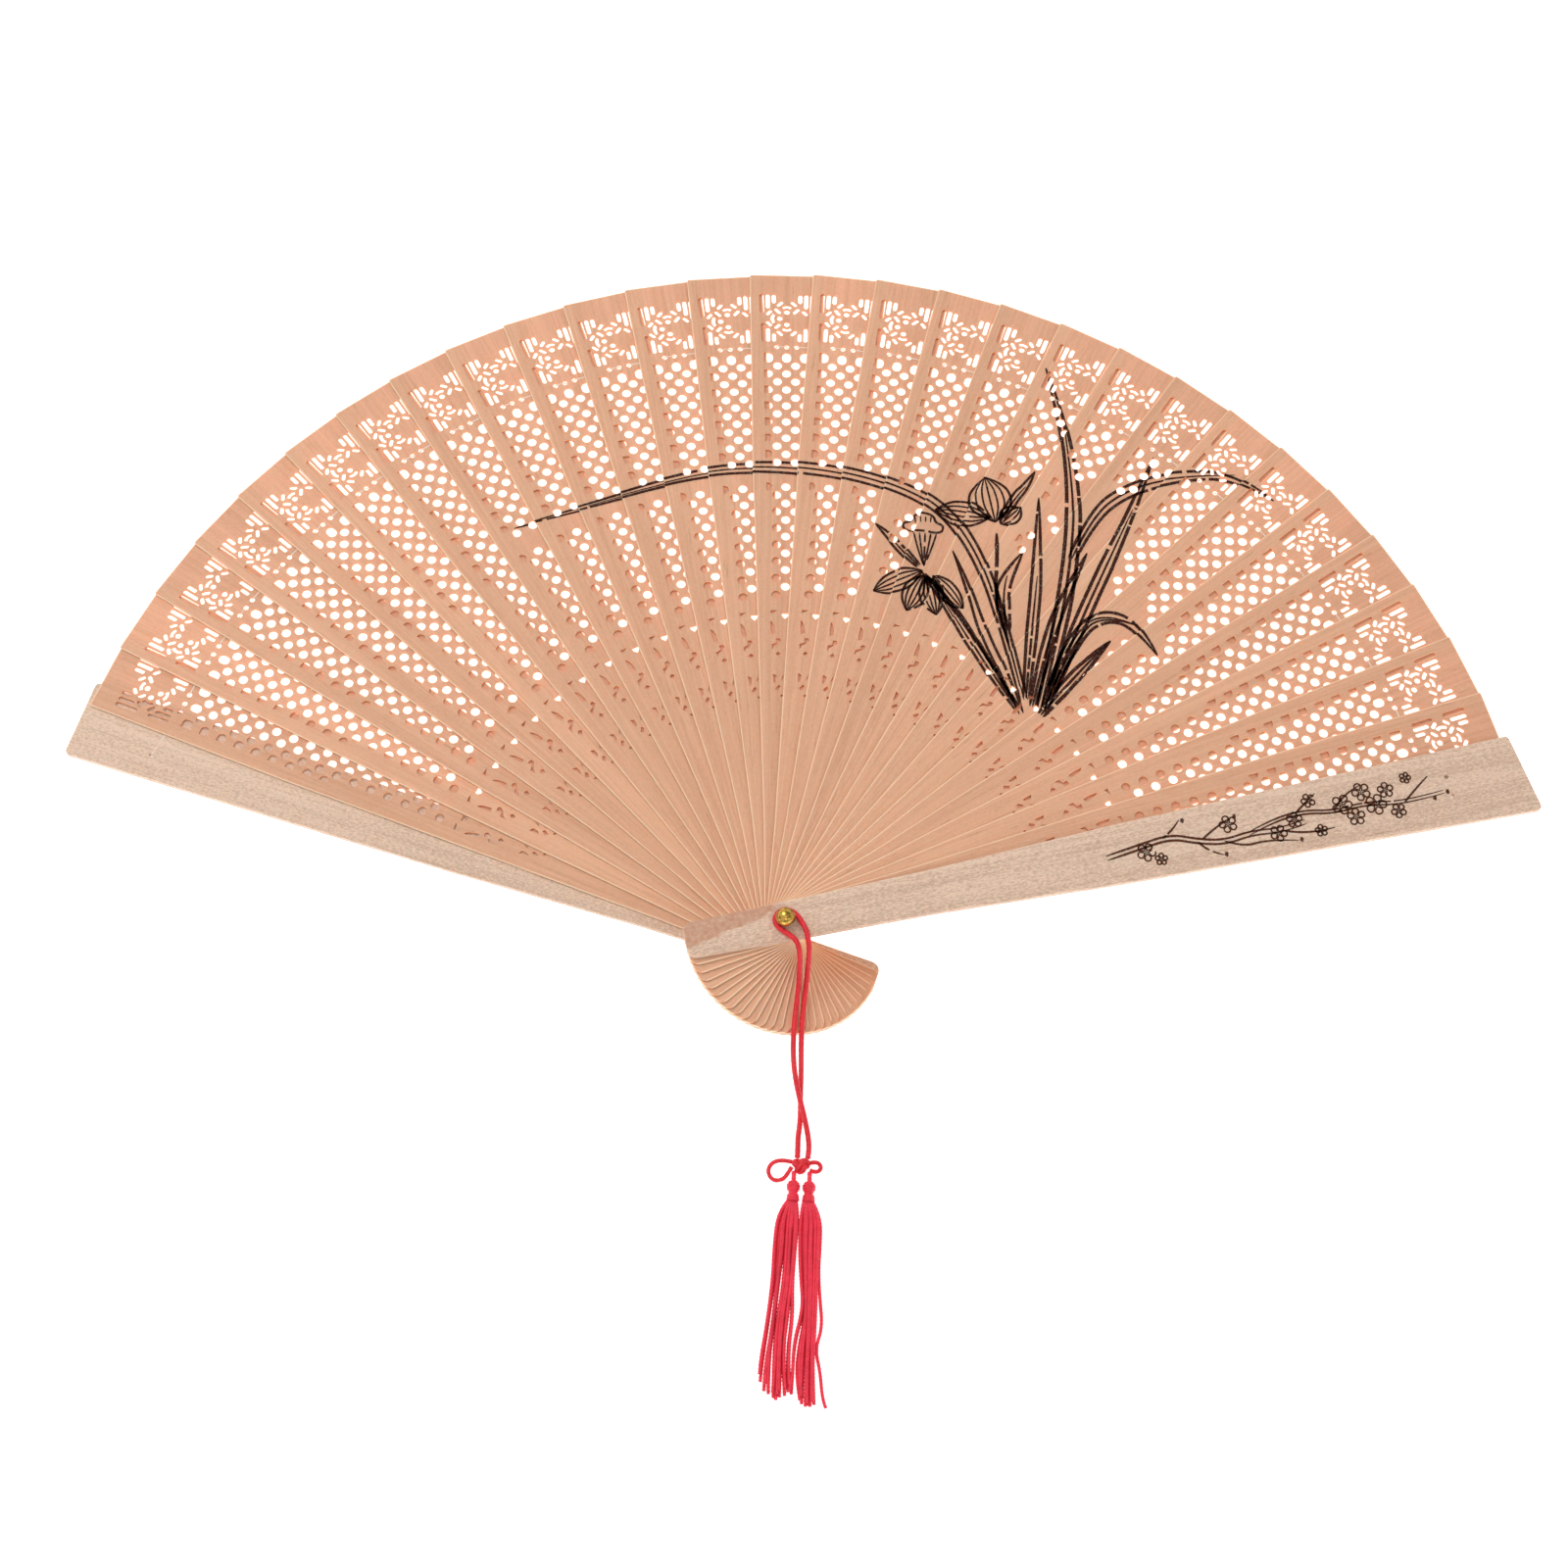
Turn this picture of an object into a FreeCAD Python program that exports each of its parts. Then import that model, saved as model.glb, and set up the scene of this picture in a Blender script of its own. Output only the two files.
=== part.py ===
"""A sandalwood folding fan: twenty-eight fretted blades between two plain guards on one rivet.

Millimetres. The fan lies open on its back guard, the plane z = 0. The origin is on the rivet's
axis, which is Z, and the open fan spreads either side of +Y. Each stick is drawn standing along
+Y with the rivet at its origin, then turned to its own place. The tassel lies towards -Y.
"""
import FreeCAD, Part
import math
import os

import Sketcher

Vector = FreeCAD.Vector
UP = Vector(0, 0, 1)

# alias, value, meaning
DIMENSIONS = [
    ("blade_count", 28, "blades between the two guards"),
    ("blade_pitch", 5.2, "degrees from one blade to the next, open"),
    ("guard_pitch", 4.2, "degrees from a guard to the blade beside it, open"),
    ("blade_thick", 0.54, "thickness of a blade"),
    ("layer_gap", 0.16, "room between two layers, which the thread needs"),
    ("guard_thick", 1.6, "thickness of a guard"),
    ("head_reach", 23.3, "rivet to the handle end of a stick"),
    ("blade_tip_reach", 176.0, "rivet to the tip of a blade"),
    ("blade_tip_half", 9.45, "half the blade's width at its tip"),
    ("blade_shoulder_reach", 125.0, "rivet to where the blade's taper changes"),
    ("blade_shoulder_half", 8.3, "half the blade's width there"),
    ("blade_neck_reach", 28.0, "rivet to the narrow part of a blade"),
    ("blade_neck_half", 4.7, "half the blade's width there"),
    ("blade_head_half", 4.0, "half the blade's width at its handle end"),
    ("guard_tip_reach", 177.2, "rivet to the square end of the back guard"),
    ("guard_long_reach", 179.8, "rivet to the outer corner of the front guard's slanted end"),
    ("guard_tip_half", 9.75, "half the guard's width at its tip"),
    ("guard_shoulder_reach", 80.0, "rivet to where the guard's taper changes"),
    ("guard_shoulder_half", 7.2, "half the guard's width there"),
    ("guard_neck_reach", 34.0, "rivet to the narrow part of a guard"),
    ("guard_neck_half", 5.2, "half the guard's width there"),
    ("guard_head_half", 4.2, "half the guard's width at its handle end"),
    ("tip_round", 1.1, "corner radius at a guard's tip"),
    ("blade_tip_round", 0.5, "corner radius at a blade's tip"),
    ("head_round", 2.2, "corner radius at the handle end"),
    ("guard_edge_round", 0.3, "rounding along a guard's outer edges"),
    ("pin_radius", 0.9, "radius of the rivet pin"),
    ("pin_clearance", 0.05, "radial room between the pin and each stick"),
    ("pin_head_radius", 2.0, "radius of the pin's flat head"),
    ("pin_head_thick", 0.55, "thickness of the pin's flat head"),
    ("ball_radius", 2.25, "radius of the brass ball"),
    ("ball_lift", 2.7, "front guard to the ball's centre"),
    ("ball_seat_gap", 0.06, "room between the front guard and the ball's neck"),
    ("ball_neck_radius", 1.1, "radius of the neck under the ball"),
    ("comb_hole_radius", 1.1, "radius of a hole of the honeycomb"),
    ("comb_row_pitch", 4.5, "distance between two rows of one column"),
    ("comb_column_pitch", 2.25, "distance between two columns"),
    ("comb_top_reach", 152.4, "rivet to the honeycomb's top row"),
    ("comb_top_stretch", 0.6, "extra height of the holes of the top row"),
    ("edge_margin", 3.2, "solid wood outside the honeycomb's outer columns"),
    ("thread_reach", 155.45, "rivet to the row of thread holes"),
    ("thread_hole_pitch", 2.5, "distance between two thread holes"),
    ("thread_hole_radius", 0.65, "radius of a thread hole"),
    ("anchor_reach", 159.7, "rivet to the front guard's thread anchors"),
    ("anchor_radius", 0.5, "radius of a thread anchor hole"),
    ("thread_width", 0.34, "width of the flat linking thread"),
    ("thread_thick", 0.12, "thickness of the flat linking thread"),
    ("cord_radius", 0.65, "radius of the tassel cord"),
    ("loop_radius", 0.5, "radius of the cord in the bow"),
    ("head_wrap_radius", 1.7, "radius of a tassel head"),
    ("head_wrap_length", 4.8, "length of a tassel head"),
    ("head_neck_radius", 0.55, "radius of the cord above a tassel head"),
    ("fringe_length", 45.4, "length of a fringe"),
]

doc = FreeCAD.newDocument("folding_fan")
sheet = doc.addObject("Spreadsheet::Sheet", "Dims")
for row, (alias, value, meaning) in enumerate(DIMENSIONS, start=1):
    sheet.set(f"A{row}", meaning)
    sheet.set(f"B{row}", str(value))
    sheet.setAlias(f"B{row}", alias)
doc.recompute()


def dim(alias):
    """The number in the sheet's cell of that alias."""
    return float(sheet.get(alias))


BLADES = int(dim("blade_count"))
LAYER_PITCH = dim("blade_thick") + dim("layer_gap")
FIRST_BLADE_BASE = dim("guard_thick") + dim("layer_gap")
FRONT_GUARD = BLADES + 1
FRONT_GUARD_BASE = FIRST_BLADE_BASE + BLADES * LAYER_PITCH
FRONT_GUARD_TOP = FRONT_GUARD_BASE + dim("guard_thick")


def layer_base(stick):
    """Height of a stick's underside: 0 is the back guard, then the blades, then the front guard."""
    if stick == 0:
        return 0.0
    return FIRST_BLADE_BASE + (stick - 1) * LAYER_PITCH


def turn_of(stick):
    """Degrees that the open fan turns a stick from +Y, to the left where positive."""
    middle = (BLADES + 1) / 2
    turned = dim("blade_pitch") * (middle - min(max(stick, 1), BLADES))
    if stick == 0:
        turned += dim("guard_pitch")
    if stick == FRONT_GUARD:
        turned -= dim("guard_pitch")
    return turned


def place_of(stick):
    """Where a stick drawn along +Y stands in the open fan."""
    return FreeCAD.Placement(Vector(0, 0, layer_base(stick)), FreeCAD.Rotation(UP, turn_of(stick)))


def point_on(stick, across, reach, height):
    """A point of the open fan, from its place on a stick: right of the centre line, from the rivet."""
    flat = place_of(stick).Rotation.multVec(Vector(across, reach, 0))
    return Vector(flat.x, flat.y, height)


# ---- sketches ----

def new_sketch(body, name):
    """An empty sketch on the body's own XY plane."""
    plane = next(f for f in body.Origin.OriginFeatures if f.Role == "XY_Plane")
    sketch = body.newObject("Sketcher::SketchObject", name)
    sketch.AttachmentSupport = [(plane, "")]
    sketch.MapMode = "FlatFace"
    return sketch


def bind_length(sketch, kind, ends, expression):
    """A positive distance between two points of a sketch, bound to the sheet."""
    number = sketch.addConstraint(Sketcher.Constraint(kind, *ends, 1.0))
    sketch.setExpression(f"Constraints[{number}]", expression)


def stick_outline(body, corners):
    """The closed outline of a stick, each corner bound to the sheet.

    corners is a list of (side, across, end, reach): side and end are 1 or -1, and across and reach
    are the aliases of the distances from the centre line and from the rivet.
    """
    sketch = new_sketch(body, "outline")
    spots = [Vector(side * dim(across), end * dim(reach), 0) for side, across, end, reach in corners]
    for start, stop in zip(spots, spots[1:] + spots[:1]):
        sketch.addGeometry(Part.LineSegment(start, stop), False)
    for line in range(len(spots)):
        previous = (line - 1) % len(spots)
        sketch.addConstraint(Sketcher.Constraint("Coincident", previous, 2, line, 1))
    for line, (side, across, end, reach) in enumerate(corners):
        here, origin = (line, 1), (-1, 1)
        bind_length(sketch, "DistanceX", origin + here if side > 0 else here + origin, f"Dims.{across}")
        bind_length(sketch, "DistanceY", origin + here if end > 0 else here + origin, f"Dims.{reach}")
    return sketch


def pad(body, sketch, thickness):
    """The sketch raised to a thickness bound to the sheet."""
    feature = body.newObject("PartDesign::Pad", "blank")
    feature.Profile = sketch
    feature.setExpression("Length", f"Dims.{thickness}")
    doc.recompute()
    return feature


def cut_through(body, sketch, name):
    """The sketch cut through the whole piece, upwards from z = 0."""
    before = body.Shape.Volume
    feature = body.newObject("PartDesign::Pocket", name)
    feature.Profile = sketch
    feature.Type = "ThroughAll"
    feature.Reversed = True
    doc.recompute()
    if not feature.Shape.Volume < before:
        raise RuntimeError(f"{body.Label}: {name} cut nothing")
    return feature


def round_edges(body, name, radius, wanted):
    """A fillet on the edges of the body's last feature that wanted(edge) picks."""
    tip = body.Tip
    names = [f"Edge{n}" for n, edge in enumerate(tip.Shape.Edges, start=1) if wanted(edge)]
    feature = body.newObject("PartDesign::Fillet", name)
    feature.Base = (tip, names)
    feature.setExpression("Radius", f"Dims.{radius}")
    doc.recompute()
    return feature


def is_upright(edge):
    """Is this edge a straight line along Z?"""
    ends = [v.Point for v in edge.Vertexes]
    return len(ends) == 2 and (ends[1] - ends[0]).cross(UP).Length < 1e-6


def corners_beyond(reach):
    """Picks upright edges further from the rivet than reach, to the tip where positive."""
    if reach > 0:
        return lambda edge: is_upright(edge) and edge.Vertexes[0].Point.y > reach
    return lambda edge: is_upright(edge) and edge.Vertexes[0].Point.y < reach


def add_circles(sketch, centres, radius_expression, radius):
    """Equal circles, the first one's radius bound to the sheet."""
    numbers = [sketch.addGeometry(Part.Circle(Vector(x, y, 0), UP, radius), False) for x, y in centres]
    bound = sketch.addConstraint(Sketcher.Constraint("Radius", numbers[0], radius))
    sketch.setExpression(f"Constraints[{bound}]", radius_expression)
    for number in numbers[1:]:
        sketch.addConstraint(Sketcher.Constraint("Equal", numbers[0], number))


def add_path(sketch, pieces):
    """Lines and arcs that close a loop."""
    for piece in pieces:
        sketch.addGeometry(piece, False)


def add_polygon(sketch, points):
    """A closed polygon through (x, y) points."""
    spots = [Vector(x, y, 0) for x, y in points]
    add_path(sketch, [Part.LineSegment(a, b) for a, b in zip(spots, spots[1:] + spots[:1])])


def add_slot(sketch, x, y, length, width, lean):
    """A round-ended slot about (x, y), leaning by degrees to the right of +Y."""
    along = Vector(math.sin(math.radians(lean)), math.cos(math.radians(lean)), 0)
    beside = Vector(along.y, -along.x, 0)
    middle, half, radius = Vector(x, y, 0), (length - width) / 2, width / 2
    top, bottom = middle + along * half, middle - along * half
    right, left = beside * radius, beside * -radius
    add_path(sketch, [
        Part.LineSegment(bottom + right, top + right),
        Part.Arc(top + right, top + along * radius, top + left),
        Part.LineSegment(top + left, bottom + left),
        Part.Arc(bottom + left, bottom - along * radius, bottom + right),
    ])


def add_edge_hole(sketch, side, x, y, outer, radius, stretch):
    """A hole of the outer column: round towards the centre line, straight at x = outer."""
    rise = Vector(0, stretch / 2, 0)
    low, high = Vector(side * x, y, 0) - rise, Vector(side * x, y, 0) + rise
    up, inward = Vector(0, radius, 0), Vector(-side * radius, 0, 0)
    diagonal = (up + inward) * math.sqrt(0.5)
    corner_low, corner_high = Vector(side * outer, (low - up).y, 0), Vector(side * outer, (high + up).y, 0)
    pieces = [
        Part.LineSegment(low - up, corner_low),
        Part.LineSegment(corner_low, corner_high),
        Part.LineSegment(corner_high, high + up),
        Part.Arc(high + up, high + diagonal, high + inward),
    ]
    if stretch:
        pieces.append(Part.LineSegment(high + inward, low + inward))
    pieces.append(Part.Arc(low + inward, low + inward * math.sqrt(0.5) - up * math.sqrt(0.5), low - up))
    add_path(sketch, pieces)


def add_bean(sketch, x, y, distance, width, spread, facing):
    """A short curved slot: a band about (x, y) at a distance, spread degrees wide, facing degrees."""
    def spot(radius, angle):
        turned = math.radians(facing + angle)
        return Vector(x + radius * math.cos(turned), y + radius * math.sin(turned), 0)
    near, far, half = distance - width / 2, distance + width / 2, spread / 2
    add_path(sketch, [
        Part.Arc(spot(far, -half), spot(far, 0), spot(far, half)),
        Part.LineSegment(spot(far, half), spot(near, half)),
        Part.Arc(spot(near, half), spot(near, 0), spot(near, -half)),
        Part.LineSegment(spot(near, -half), spot(far, -half)),
    ])


# ---- the fretted blade, drawn once ----

# Cut-outs below the honeycomb, on the right of the centre line: (across, reach).
SCROLLWORK = {
    "corner": [(3.5, 83.0), (1.8, 83.05), (3.45, 82.0)],
    "feather": [(3.5, 80.2), (3.1, 79.9), (2.6, 79.0), (2.2, 76.9), (3.15, 76.6), (3.45, 78.0)],
    "scroll": [(2.2, 75.6), (1.3, 75.7), (0.95, 75.0), (1.5, 74.2), (2.6, 73.4), (3.1, 72.6),
               (3.2, 74.0), (2.1, 74.5)],
    "bud": [(1.65, 72.2), (1.0, 71.7), (1.5, 70.7), (2.25, 71.5)],
    "wide_leaf": [(2.85, 66.3), (1.95, 65.9), (2.0, 64.5), (2.55, 63.8), (2.75, 65.0)],
    "thin_leaf": [(0.3, 66.3), (0.9, 64.6), (0.4, 65.2)],
    "seed": [(1.45, 63.5), (0.95, 63.0), (1.55, 61.8), (2.25, 62.4)],
}
SHIELD = [(-0.85, 82.3), (0.85, 82.3), (0.75, 81.5), (0.0, 80.75), (-0.75, 81.5)]

# Upright slots at the corners of the rosette panel: (across, reach, length, width, lean).
PANEL_SLOTS = [
    (6.38, 167.8, 5.6, 1.1, 2.6), (4.85, 168.5, 4.2, 1.0, 1.3), (3.35, 169.2, 2.6, 1.0, 1.3),
    (6.0, 159.55, 5.3, 0.9, 2.6), (4.7, 158.9, 4.0, 1.0, 1.3), (3.2, 158.2, 2.5, 0.95, 1.3),
]
# Slanted slots of the rosette, on both sides of the centre line, then those on the left alone.
ROSETTE_SLOTS = [(1.75, 167.8, 1.9, 0.9, -46), (2.35, 165.75, 2.1, 0.9, 45),
                 (4.5, 165.25, 1.9, 0.9, -43), (1.75, 159.4, 1.95, 0.9, 45)]
LEFT_ROSETTE_SLOTS = [(4.5, 162.1, 1.95, 0.9, 43), (2.35, 161.4, 1.95, 0.9, -46)]
ROSETTE_DOTS = [(0, 165.4), (0, 161.9), (-1.8, 163.6)]
ROSETTE_DOT_RADIUS = 0.7
BEAN_WIDTH, BEAN_SPREAD = 0.85, 84
ROSETTE_BEANS = [(0, 165.4, 1.55, 90), (0, 161.9, 1.6, -90), (-1.8, 163.6, 1.85, 180)]
LONE_DOT_ACROSS, LONE_DOT_REACH, LONE_DOT_RADIUS = 0.7, 60.6, 0.3
ROWS, EDGE_ROWS = 15, 9  # of the honeycomb: its round holes, and the outer ones with a straight side

# Where the honeycomb is left out for the printed orchid. Its long leaf crosses some blades, in a band
# between two reaches; the rest lies in outlines on the open fan, (x, y), with two places inside them
# where the honeycomb is cut after all.
LEAF_STICKS, LEAF_BAND = range(8, 17), (117.5, 122.5)
PLAIN_GROUNDS = [
    [(17, 119), (28, 115), (28, 111), (18, 110)],
    [(28, 115), (36, 120), (42, 123), (45, 120), (56, 124), (57, 120), (58, 116), (61, 117),
     (61, 128), (64, 128), (64, 118), (67, 119), (73, 126), (74, 120), (76, 118), (80, 118),
     (84, 121), (88, 121), (87, 118), (79, 106), (78, 101), (73, 92), (75, 89), (79, 89), (80, 91),
     (82.5, 91), (82.5, 82), (87, 81), (87, 76), (84, 75), (78, 79), (67, 68), (62, 63), (59, 56),
     (52, 56), (41, 69), (32, 79), (23, 82), (14, 84), (15, 89), (23, 94), (23, 102), (28, 106)],
]
CUT_WINDOWS = [
    [(58, 113), (61, 113), (61, 107), (58, 107)],
    [(50, 107), (55, 108), (55, 105), (50, 97), (48, 99), (50, 104)],
]


def blade_half_width(reach):
    """Half the blade's width where the fretwork is."""
    shoulder, half = dim("blade_shoulder_reach"), dim("blade_shoulder_half")
    if reach > shoulder:
        far, far_half = dim("blade_tip_reach"), dim("blade_tip_half")
    else:
        far, far_half = dim("blade_neck_reach"), dim("blade_neck_half")
    return half + (far_half - half) * (reach - shoulder) / (far - shoulder)


def is_inside(x, y, outline):
    """Is the point inside the closed outline?"""
    inside = False
    for (x1, y1), (x2, y2) in zip(outline, outline[1:] + outline[:1]):
        if (y1 > y) != (y2 > y) and x < x1 + (x2 - x1) * (y - y1) / (y2 - y1):
            inside = not inside
    return inside


def is_plain(stick, across, reach):
    """Does this place on a stick of the open fan lie on the orchid's plain ground?"""
    if stick in LEAF_STICKS and LEAF_BAND[0] < reach < LEAF_BAND[1]:
        return True
    x, y, _ = point_on(stick, across, reach, 0)
    if any(is_inside(x, y, window) for window in CUT_WINDOWS):
        return False
    return any(is_inside(x, y, ground) for ground in PLAIN_GROUNDS)


def comb_holes():
    """Places (across, reach) of the honeycomb's holes: round ones, the top one, and those at the edges."""
    rows, columns, top = dim("comb_row_pitch"), dim("comb_column_pitch"), dim("comb_top_reach")
    round_holes = [(0, top - row * rows) for row in range(1, ROWS)]
    round_holes += [(side * columns, top - (row + 0.5) * rows) for row in range(ROWS) for side in (-1, 1)]
    edge_holes = [(side * 2 * columns, top - row * rows) for row in range(EDGE_ROWS) for side in (-1, 1)]
    return round_holes, (0, top), edge_holes


def cut_honeycomb(body, stick):
    """The columns of round holes, and the outer columns with one straight side.

    The holes on the orchid's ground are left out, unless stick is None.
    """
    def is_cut(hole):
        return stick is None or not is_plain(stick, *hole)
    sketch = new_sketch(body, "honeycomb")
    radius, stretch = dim("comb_hole_radius"), dim("comb_top_stretch")
    round_holes, top_hole, edge_holes = comb_holes()
    add_circles(sketch, list(filter(is_cut, round_holes)), "Dims.comb_hole_radius", radius)
    if is_cut(top_hole):
        add_slot(sketch, *top_hole, 2 * radius + stretch, 2 * radius, 0)
    for across, reach in filter(is_cut, edge_holes):
        outer = blade_half_width(reach) - dim("edge_margin")
        taller = stretch if reach == top_hole[1] else 0
        add_edge_hole(sketch, math.copysign(1, across), abs(across), reach, outer, radius, taller)
    cut_through(body, sketch, "honeycomb_cut")


def cut_rosette_panel(body):
    """The slots, beans and dots near the tip, and the row of thread holes under them."""
    sketch = new_sketch(body, "rosette_panel")
    pitch = dim("thread_hole_pitch")
    thread_holes = [(step * pitch, dim("thread_reach")) for step in (-1, 0, 1)]
    add_circles(sketch, thread_holes, "Dims.thread_hole_radius", dim("thread_hole_radius"))
    for x, y in ROSETTE_DOTS:
        sketch.addGeometry(Part.Circle(Vector(x, y, 0), UP, ROSETTE_DOT_RADIUS), False)
    for side in (-1, 1):
        for x, y, length, width, lean in PANEL_SLOTS + ROSETTE_SLOTS:
            add_slot(sketch, side * x, y, length, width, side * lean)
    for x, y, length, width, lean in LEFT_ROSETTE_SLOTS:
        add_slot(sketch, -x, y, length, width, -lean)
    for x, y, distance, facing in ROSETTE_BEANS:
        add_bean(sketch, x, y, distance, BEAN_WIDTH, BEAN_SPREAD, facing)
    cut_through(body, sketch, "rosette_cut")


def cut_scrollwork(body):
    """The small cut-outs below the honeycomb, mirrored about the centre line."""
    sketch = new_sketch(body, "scrollwork")
    add_polygon(sketch, SHIELD)
    for side in (-1, 1):
        for points in SCROLLWORK.values():
            add_polygon(sketch, [(side * x, y) for x, y in points])
        centre = Vector(side * LONE_DOT_ACROSS, LONE_DOT_REACH, 0)
        sketch.addGeometry(Part.Circle(centre, UP, LONE_DOT_RADIUS), False)
    cut_through(body, sketch, "scrollwork_cut")


def cut_rivet_hole(body):
    """The hole that turns on the rivet pin."""
    sketch = new_sketch(body, "rivet_hole")
    hole_radius = dim("pin_radius") + dim("pin_clearance")
    add_circles(sketch, [(0, 0)], "Dims.pin_radius + Dims.pin_clearance", hole_radius)
    cut_through(body, sketch, "rivet_hole_cut")


def make_fretted_blade(stick=None):
    """One blade along +Y: that of one stick, or the one that every blade off the orchid repeats."""
    body = doc.addObject("PartDesign::Body", "fretted_blade")
    rising = [("blade_head_half", -1, "head_reach"), ("blade_neck_half", 1, "blade_neck_reach"),
              ("blade_shoulder_half", 1, "blade_shoulder_reach"), ("blade_tip_half", 1, "blade_tip_reach")]
    right = [(1, across, end, reach) for across, end, reach in rising]
    left = [(-1, across, end, reach) for across, end, reach in reversed(rising)]
    pad(body, stick_outline(body, right + left), "blade_thick")
    round_edges(body, "tip_corners", "blade_tip_round", corners_beyond(dim("blade_tip_reach") - 1))
    round_edges(body, "head_corners", "head_round", corners_beyond(1 - dim("head_reach")))
    cut_rivet_hole(body)
    cut_honeycomb(body, stick)
    cut_rosette_panel(body)
    cut_scrollwork(body)
    return body


def make_blade(stick, full_blade):
    """One blade of the open fan: a copy of the full one, or its own where the orchid takes holes away."""
    round_holes, top_hole, edge_holes = comb_holes()
    is_full = not any(is_plain(stick, *hole) for hole in [*round_holes, top_hole, *edge_holes])
    blade = doc.addObject("Part::Feature", f"blade_{stick:02d}")
    blade.Label = f"blade_{stick:02d}"
    blade.Shape = full_blade.Shape if is_full else make_fretted_blade(stick).Shape
    blade.Placement = place_of(stick)
    layers_below = f"{stick - 1} * (Dims.blade_thick + Dims.layer_gap)"
    blade.setExpression("Placement.Base.z", f"Dims.guard_thick + Dims.layer_gap + {layers_below}")
    places_on = f"((Dims.blade_count + 1) / 2 - {stick})"
    blade.setExpression("Placement.Rotation.Angle", f"Dims.blade_pitch * {places_on}")
    return blade


# ---- the guards ----

def guard_blank(name, right_tip, left_tip):
    """A guard's body: its outline and rounded corners. Each tip corner has a reach of its own."""
    body = doc.addObject("PartDesign::Body", name)
    body.Label = name
    rising = [("guard_head_half", -1, "head_reach"), ("guard_neck_half", 1, "guard_neck_reach"),
              ("guard_shoulder_half", 1, "guard_shoulder_reach")]
    right = [(1, across, end, reach) for across, end, reach in rising]
    left = [(-1, across, end, reach) for across, end, reach in reversed(rising)]
    tips = [(1, "guard_tip_half", 1, right_tip), (-1, "guard_tip_half", 1, left_tip)]
    pad(body, stick_outline(body, right + tips + left), "guard_thick")
    round_edges(body, "tip_corners", "tip_round", corners_beyond(dim("guard_tip_reach") - 1))
    round_edges(body, "head_corners", "head_round", corners_beyond(1 - dim("head_reach")))
    return body


def round_guard_face(body, height):
    """Soft edges all round the guard's outer face, which is at that height."""
    def on_face(edge):
        return all(abs(vertex.Point.z - height) < 1e-6 for vertex in edge.Vertexes)
    round_edges(body, "soft_edges", "guard_edge_round", on_face)


def cut_anchors(body, across, reach):
    """Small holes where the linking thread is knotted and glued."""
    sketch = new_sketch(body, "anchors")
    centres = [(x, reach) for x in across]
    add_circles(sketch, centres, "Dims.anchor_radius", dim("anchor_radius"))
    cut_through(body, sketch, "anchor_cut")


BACK_ANCHOR_ACROSS, BACK_ANCHOR_REACH = -3.4, 157.6
FRONT_ANCHORS_ACROSS = (-2.6, 2.2)


def make_back_guard():
    """The lowest stick, with a recess underneath for the pin's flat head."""
    body = guard_blank("back_guard", "guard_tip_reach", "guard_tip_reach")
    round_guard_face(body, 0)
    cut_rivet_hole(body)
    cut_anchors(body, [BACK_ANCHOR_ACROSS], BACK_ANCHOR_REACH)
    sketch = new_sketch(body, "pin_head_recess")
    recess_radius = dim("pin_head_radius") + dim("pin_clearance")
    add_circles(sketch, [(0, 0)], "Dims.pin_head_radius + Dims.pin_clearance", recess_radius)
    recess = body.newObject("PartDesign::Pocket", "pin_head_recess_cut")
    recess.Profile = sketch
    recess.setExpression("Length", "Dims.pin_head_thick")
    recess.Reversed = True
    doc.recompute()
    body.Placement = place_of(0)
    return body


def make_front_guard():
    """The topmost stick, with a slanted end, longer at its outer corner."""
    body = guard_blank("front_guard", "guard_long_reach", "guard_tip_reach")
    round_guard_face(body, dim("guard_thick"))
    cut_rivet_hole(body)
    cut_anchors(body, FRONT_ANCHORS_ACROSS, dim("anchor_reach"))
    body.Placement = place_of(FRONT_GUARD)
    return body


# ---- the rivet ----

def primitive(kind, name, sizes, height):
    """A Part primitive on the rivet's axis, its sizes bound to the sheet."""
    feature = doc.addObject(kind, name)
    for size, expression in sizes.items():
        feature.setExpression(size, expression)
    feature.Placement.Base.z = height
    return feature


def make_rivet_pin():
    """The pin: a flat head flush with the back guard, and a shank up into the ball."""
    head = primitive("Part::Cylinder", "pin_head",
                     {"Radius": "Dims.pin_head_radius", "Height": "Dims.pin_head_thick"}, 0)
    shank = primitive("Part::Cylinder", "pin_shank", {"Radius": "Dims.pin_radius"}, 0)
    shank.Height = FRONT_GUARD_TOP + dim("ball_lift")
    pin = doc.addObject("Part::MultiFuse", "rivet_pin")
    pin.Label = "rivet_pin"
    pin.Shapes = [head, shank]
    return pin


def make_rivet_ball():
    """The brass ball with its short neck, bored to take the pin."""
    seat = FRONT_GUARD_TOP + dim("ball_seat_gap")
    centre = FRONT_GUARD_TOP + dim("ball_lift")
    ball = primitive("Part::Sphere", "ball", {"Radius": "Dims.ball_radius"}, centre)
    neck = primitive("Part::Cylinder", "ball_neck", {"Radius": "Dims.ball_neck_radius"}, seat)
    neck.Height = centre - seat
    whole = doc.addObject("Part::MultiFuse", "ball_and_neck")
    whole.Shapes = [ball, neck]
    bore = primitive("Part::Cylinder", "ball_bore", {"Radius": "Dims.pin_radius"}, 0)
    bore.Height = centre
    rivet_ball = doc.addObject("Part::Cut", "rivet_ball")
    rivet_ball.Label = "rivet_ball"
    rivet_ball.Base = whole
    rivet_ball.Tool = bore
    return rivet_ball


# ---- the linking thread ----

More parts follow.
